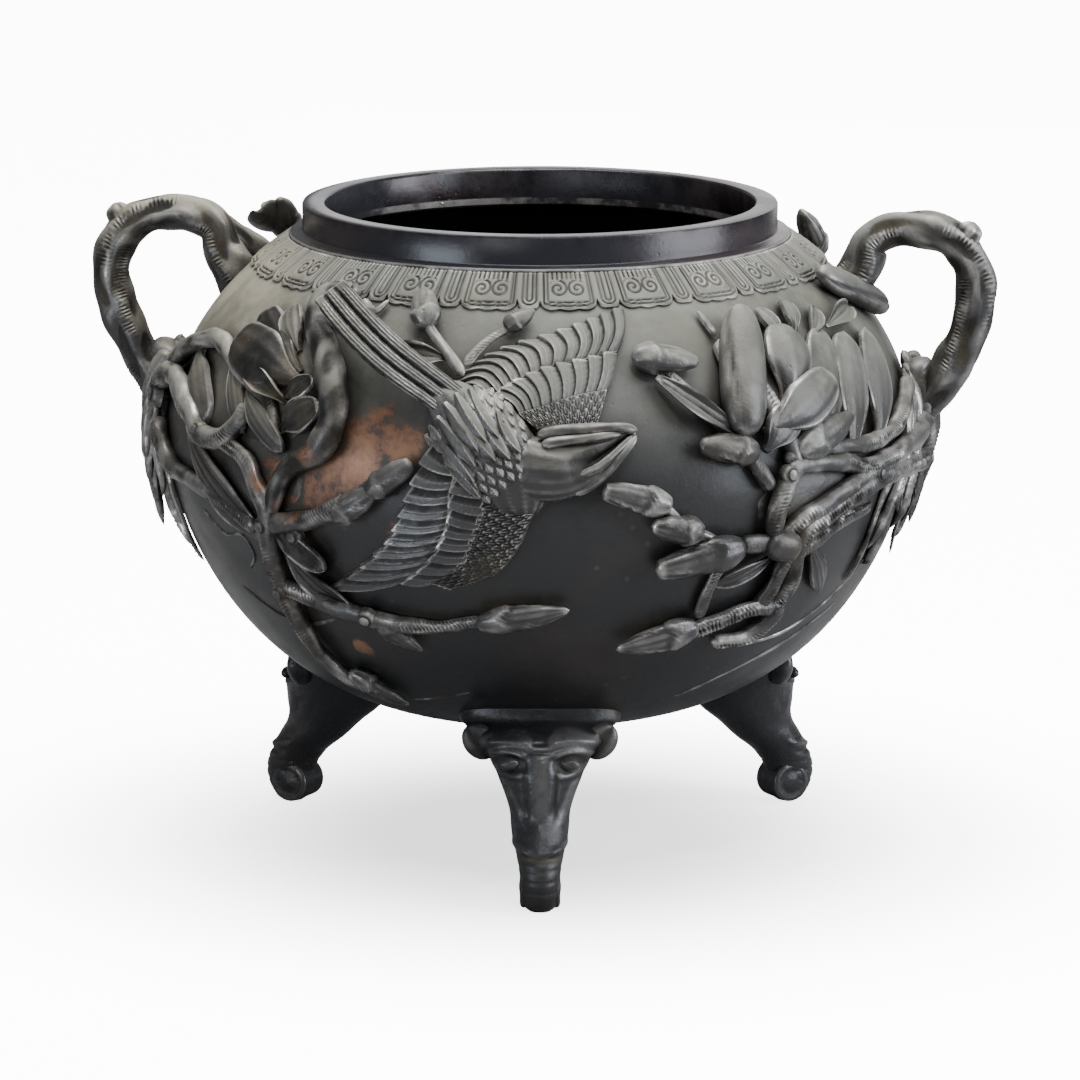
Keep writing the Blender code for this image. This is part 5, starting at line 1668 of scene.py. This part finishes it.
@dataclass(frozen=True)
class Patina:
    """An aged bronze finish.

    Its colours are linear. The dark skin is what most of the metal has, with warm breaks in it;
    dust lies on what looks up, tan towards the left as painted light, and on the relief also on what
    looks sideways, partly as painted light; deposits and painted shade darken the hollows, and bare
    metal shows where it is rubbed.
    """

    name: str
    skin: tuple = (0.014, 0.014, 0.015)
    warm: tuple = (0.026, 0.020, 0.016)
    ground: tuple = (0.29, 0.15, 0.088)
    rust: tuple = (0.10, 0.055, 0.04)
    dust: tuple = (0.205, 0.205, 0.175)
    olive: tuple = (0.155, 0.152, 0.117)
    # Tan: the dust turned paler and warmer towards the left, as painted light from the left.
    tan: tuple = (0.42, 0.385, 0.29)
    # The near-black of the hollows: deposits, and painted shade where occlusion darkens them.
    dirt_and_shade: tuple = (0.012, 0.011, 0.009)
    ochre: tuple = (0.055, 0.045, 0.028)
    bare: tuple = (0.50, 0.48, 0.45)
    metallic: float = 0.0
    relief: float = 0.0
    spotted: float = 0.15
    specular: float = 0.5
    collar: bool = False
    dust_from: float = 0.0
    dust_full: float = 0.75
    dusty: float = 0.85
    worn: float = 0.8
    gloss: float = 0.36
    matt: float = 0.72
    bump: float = 0.25
    bump_depth: float = 0.0008
    polished: tuple = (0.017, 0.017, 0.022)
    plum: tuple = (0.03, 0.022, 0.024)
    collar_from: tuple = (0.2905, 0.2912)
    grain: float = 420.0
    pits: float = 0.5
    lumps: float = 0.25

    def material(self, groups: dict) -> bpy.types.Material:
        """Makes the material.

        Args:
            groups: The shared node groups by name.

        Returns:
            The material.
        """
        made = bpy.data.materials.new(self.name)
        made.use_nodes = True
        made.node_tree.nodes.clear()
        tree = Tree(made.node_tree)
        place = tree.place()
        given = {
            "weather": {"Dust from": self.dust_from, "Dust full": self.dust_full},
            "patches": {"Relief": self.relief},
            "casting": {"Grain": self.grain, "Pits": self.pits, "Lumps": self.lumps},
        }
        mask, patches, casting = (
            tree.node("Group", values, node_tree=groups[name]).outputs for name, values in given.items()
        )
        skin, warm, ground, rust, dust, olive, tan, dirt_and_shade, ochre, bare = (
            (*getattr(self, name), 1)
            for name in (
                "skin", "warm", "ground", "rust", "dust", "olive", "tan", "dirt_and_shade", "ochre", "bare"
            )
        )
        colour = tree.mix(tree.remap(tree.noise(place, 13, 6, 0.65), 0.5, 0.72), skin, warm)
        tone = tree.mix(tree.remap(patches["Broken"], 0.35, 0.65), ground, rust)
        copper = tree.times(patches["Copper"], tree.remap(patches["Broken"], 0.66, 0.5))
        colour = tree.mix(copper, colour, tone)
        colour = tree.mix(tree.times(patches["Spots"], self.spotted), colour, dust)
        # Where dust lies: dust, with painted light where it reaches the relief's sides and where it turns
        # tan on the left.
        dust_and_painted_light = tree.times(mask["Dust"], self.dusty, tree.less(1.0, copper))
        shade = tree.mix(tree.remap(tree.noise(place, 31, 5, 0.6), 0.38, 0.62), dust, olive)
        # Painted light from the left: this dust colour turns tan towards the left side.
        shade = tree.mix(tree.remap(tree.part(place, 0), -0.07, -0.15, 0.0, 0.85), shade, tan)
        colour = tree.mix(dust_and_painted_light, colour, shade)
        # The hollows go dark: ochre and near-black deposits, and painted shade from occlusion.
        grime_and_shade = tree.mix(tree.remap(tree.noise(place, 24, 3, 0.5), 0.52, 0.66), dirt_and_shade, ochre)
        colour = tree.mix(tree.times(mask["Hollow"], 0.88), colour, grime_and_shade)
        rubbed = tree.times(mask["Wear"], self.worn)
        colour = tree.mix(rubbed, colour, bare)
        rough = tree.remap(mask["Clouds"], 0.3, 0.7, self.gloss - 0.07, self.gloss + 0.1)
        matt = tree.times(dust_and_painted_light, self.matt - self.gloss)
        rough = tree.less(tree.plus(rough, matt, tree.times(mask["Hollow"], 0.2)), tree.times(rubbed, 0.12))
        clean = tree.less(self.metallic, tree.times(dust_and_painted_light, self.metallic), clamp=True)
        metal = tree.most(rubbed, tree.times(copper, 0.5), clean)
        if self.collar:
            above = tree.remap(tree.part(place, 2), *self.collar_from)
            streaks = tree.remap(tree.noise(place, 9, 2, 0.5), 0.42, 0.6)
            colour = tree.mix(above, colour, tree.mix(streaks, (*self.polished, 1), (*self.plum, 1)))
            polish = tree.remap(mask["Clouds"], 0.3, 0.7, 0.2, 0.3)
            rough = tree.plus(tree.times(rough, tree.less(1.0, above)), tree.times(polish, above))
        bump = tree.node("Bump", {"Height": casting["Height"]})
        bump.inputs["Strength"].default_value = self.bump
        bump.inputs["Distance"].default_value = self.bump_depth
        shader = tree.node("BsdfPrincipled", {
            "Base Color": colour, "Roughness": rough, "Metallic": metal, "Normal": bump.outputs[0],
        })
        shader.inputs["Specular IOR Level"].default_value = self.specular
        tree.node("OutputMaterial", {"Surface": shader.outputs[0]})
        return made


# The studio


@dataclass
class Studio:
    """A pale plain floor that glows white for the camera as painted light, soft light from above and a white
    surround.
    """

    top_power: float = 56.0
    fill_power: float = 5.0
    left_power: float = 5.0
    right_power: float = 33.0
    back_power: float = 9.0
    spark_power: float = 11.0
    right_top_power: float = 11.0
    floor_bounce: float = 0.31
    floor_reach: float = 4.0
    white: float = 12.0
    camera_reach: float = 2.9101
    camera_height: float = 0.7487
    camera_pitch: float = 78.24
    lens: float = 210.07

    def floor(self) -> None:
        """Lays the floor, which glows white for the camera as painted light, less near the bowl."""
        reach = self.floor_reach
        mesh = bpy.data.meshes.new("floor")
        corners = [(x * reach, y * reach, 0) for x, y in ((-1, -1), (1, -1), (1, 1), (-1, 1))]
        mesh.from_pydata(corners, [], [(0, 1, 2, 3)])
        floor = bpy.data.objects.new("floor", mesh)
        bpy.context.scene.collection.objects.link(floor)
        made = bpy.data.materials.new("pale_floor")
        made.use_nodes = True
        made.node_tree.nodes.clear()
        tree = Tree(made.node_tree)
        place = tree.place()
        seen = tree.node("LightPath").outputs["Is Camera Ray"]
        pale = tree.mix(tree.noise(place, 3, 3, 0.5), (0.9, 0.9, 0.9, 1), (0.87, 0.87, 0.875, 1))
        # Painted light: the floor glows for the camera only, weakly by the bowl and white further out; the
        # lights see it darker than the camera does.
        colour = tree.mix(seen, (*[self.floor_bounce] * 3, 1), pale)
        away = tree.node("VectorMath", {0: place}, operation="LENGTH").outputs["Value"]
        glow = tree.times(tree.remap(away, 0.06, 0.36, 1.6, self.white), seen)
        shader = tree.node("BsdfPrincipled", {"Base Color": colour, "Emission Strength": glow})
        shader.inputs["Emission Color"].default_value = (1, 1, 1, 1)
        shader.inputs["Roughness"].default_value = 0.9
        tree.node("OutputMaterial", {"Surface": shader.outputs[0]})
        mesh.materials.append(made)

    def light(self, name: str, place: tuple, size: float, power: float, cool: float = 0.0) -> None:
        """A square area light aimed at the middle of the bowl.

        Args:
            name: Its name.
            place: Where it is, in metres.
            size: Its side, in metres.
            power: Its power, in watts.
            cool: How much red it lacks.
        """
        lamp = bpy.data.lights.new(name, "AREA")
        lamp.size = size
        lamp.energy = power
        lamp.color = (1 - cool, 1 - 0.6 * cool, 1)
        made = bpy.data.objects.new(name, lamp)
        made.location = place
        toward = np.array([0, 0, 0.18]) - np.array(place)
        pitch = math.acos(-toward[2] / np.linalg.norm(toward))
        made.rotation_euler = (pitch, 0, math.atan2(-toward[0], toward[1]))
        bpy.context.scene.collection.objects.link(made)

    def surround(self) -> None:
        """White where the camera sees past the floor, and dimmer as a light."""
        world = bpy.data.worlds.new("surround")
        world.use_nodes = True
        world.node_tree.nodes.clear()
        tree = Tree(world.node_tree)
        seen = tree.node("LightPath").outputs["Is Camera Ray"]
        colour = tree.mix(seen, (0.19, 0.195, 0.2, 1), (self.white, self.white, self.white, 1))
        background = tree.node("Background", {"Color": colour})
        tree.node("OutputWorld", {"Surface": background.outputs[0]})
        bpy.context.scene.world = world

    def camera(self) -> None:
        """Sets the camera at the photograph's angle."""
        lens = bpy.data.cameras.new("camera")
        lens.lens = self.lens
        lens.sensor_width = 36
        made = bpy.data.objects.new("camera", lens)
        made.location = (0, -self.camera_reach, self.camera_height)
        made.rotation_euler = (math.radians(self.camera_pitch), 0, 0)
        bpy.context.scene.collection.objects.link(made)
        bpy.context.scene.camera = made

    def build(self) -> None:
        """Sets up the studio."""
        self.floor()
        self.light("overhead", (0.1, 0.1, 1.9), 1.3, self.top_power)
        self.light("fill", (-0.9, -2.4, 1.0), 1.0, self.fill_power)
        self.light("left_wall", (-0.9, -0.86, 0.13), 0.5, self.left_power, cool=0.2)
        self.light("right_wall", (1.7, -0.5, 0.4), 1.2, self.right_power, cool=0.14)
        self.light("behind", (0.5, 2.2, 0.75), 1.5, self.back_power)
        self.light("spark", (0.35, -1.5, 1.9), 0.16, self.spark_power)
        self.light("right_top", (1.3, -0.7, 1.3), 0.6, self.right_top_power, cool=0.08)
        self.surround()
        self.camera()


# Putting it together


FOOT_BEARINGS = {"foot_front": 0.0, "foot_back_left": -120.0, "foot_back_right": 120.0}


def finishes() -> dict:
    """Makes the three finishes by the name of their slot."""
    groups = {
        name: shared_group(name, inputs, outputs, draw)
        for name, inputs, outputs, draw in (
            (
                "weather", {"Dust from": 0.0, "Dust full": 0.75}, ("Dust", "Wear", "Hollow", "Clouds"),
                draw_weather,
            ),
            ("patches", {"Relief": 0.0}, ("Copper", "Broken", "Spots"), draw_patches),
            ("casting", {"Grain": 420.0, "Pits": 0.5, "Lumps": 0.5}, ("Height",), draw_skin),
        )
    }
    rough_cast = {"relief": 1.0, "bump": 0.5, "lumps": 1.3, "pits": 0.8}
    patinas = (
        Patina("bowl_bronze", collar=True),
        # On the relief the dust also reaches what looks sideways, as painted light that lifts the relief's
        # sides.
        Patina(
            "relief_bronze", grain=520.0, metallic=0.55, skin=(0.062, 0.060, 0.060),
            warm=(0.075, 0.064, 0.054), worn=0.95, gloss=0.33, dusty=0.75, dust_from=-0.15, **rough_cast,
        ),
        Patina(
            "foot_bronze", dusty=0.3, metallic=0.2, skin=(0.024, 0.024, 0.026),
            warm=(0.03, 0.026, 0.024), worn=0.32, gloss=0.3, **rough_cast,
        ),
    )
    return {patina.name: patina.material(groups) for patina in patinas}


def main() -> None:
    """Builds the pieces, gives each its finish, and sets up the studio."""
    logging.basicConfig(level=logging.INFO, format="%(message)s")
    paints = finishes()
    makers = [
        ("bowl", "bowl_bronze", Bowl()),
        ("branch_handle_left", "relief_bronze", BranchHandle(Side.LEFT, 3)),
        ("branch_handle_right", "relief_bronze", BranchHandle(Side.RIGHT, 7)),
        ("bird", "relief_bronze", Bird()),
    ]
    makers += [(name, "foot_bronze", Foot(name, bearing)) for name, bearing in FOOT_BEARINGS.items()]
    for node, slot, maker in makers:
        piece = maker.build()
        piece.data.materials.append(paints[slot])
        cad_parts[node].data.materials.clear()
        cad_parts[node].data.materials.append(paints[slot])
        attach(piece, "root")
        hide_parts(node)
        log.info("%s: %d faces", piece.name, len(piece.data.polygons))
    Studio().build()


if __name__ == "__main__":
    main()
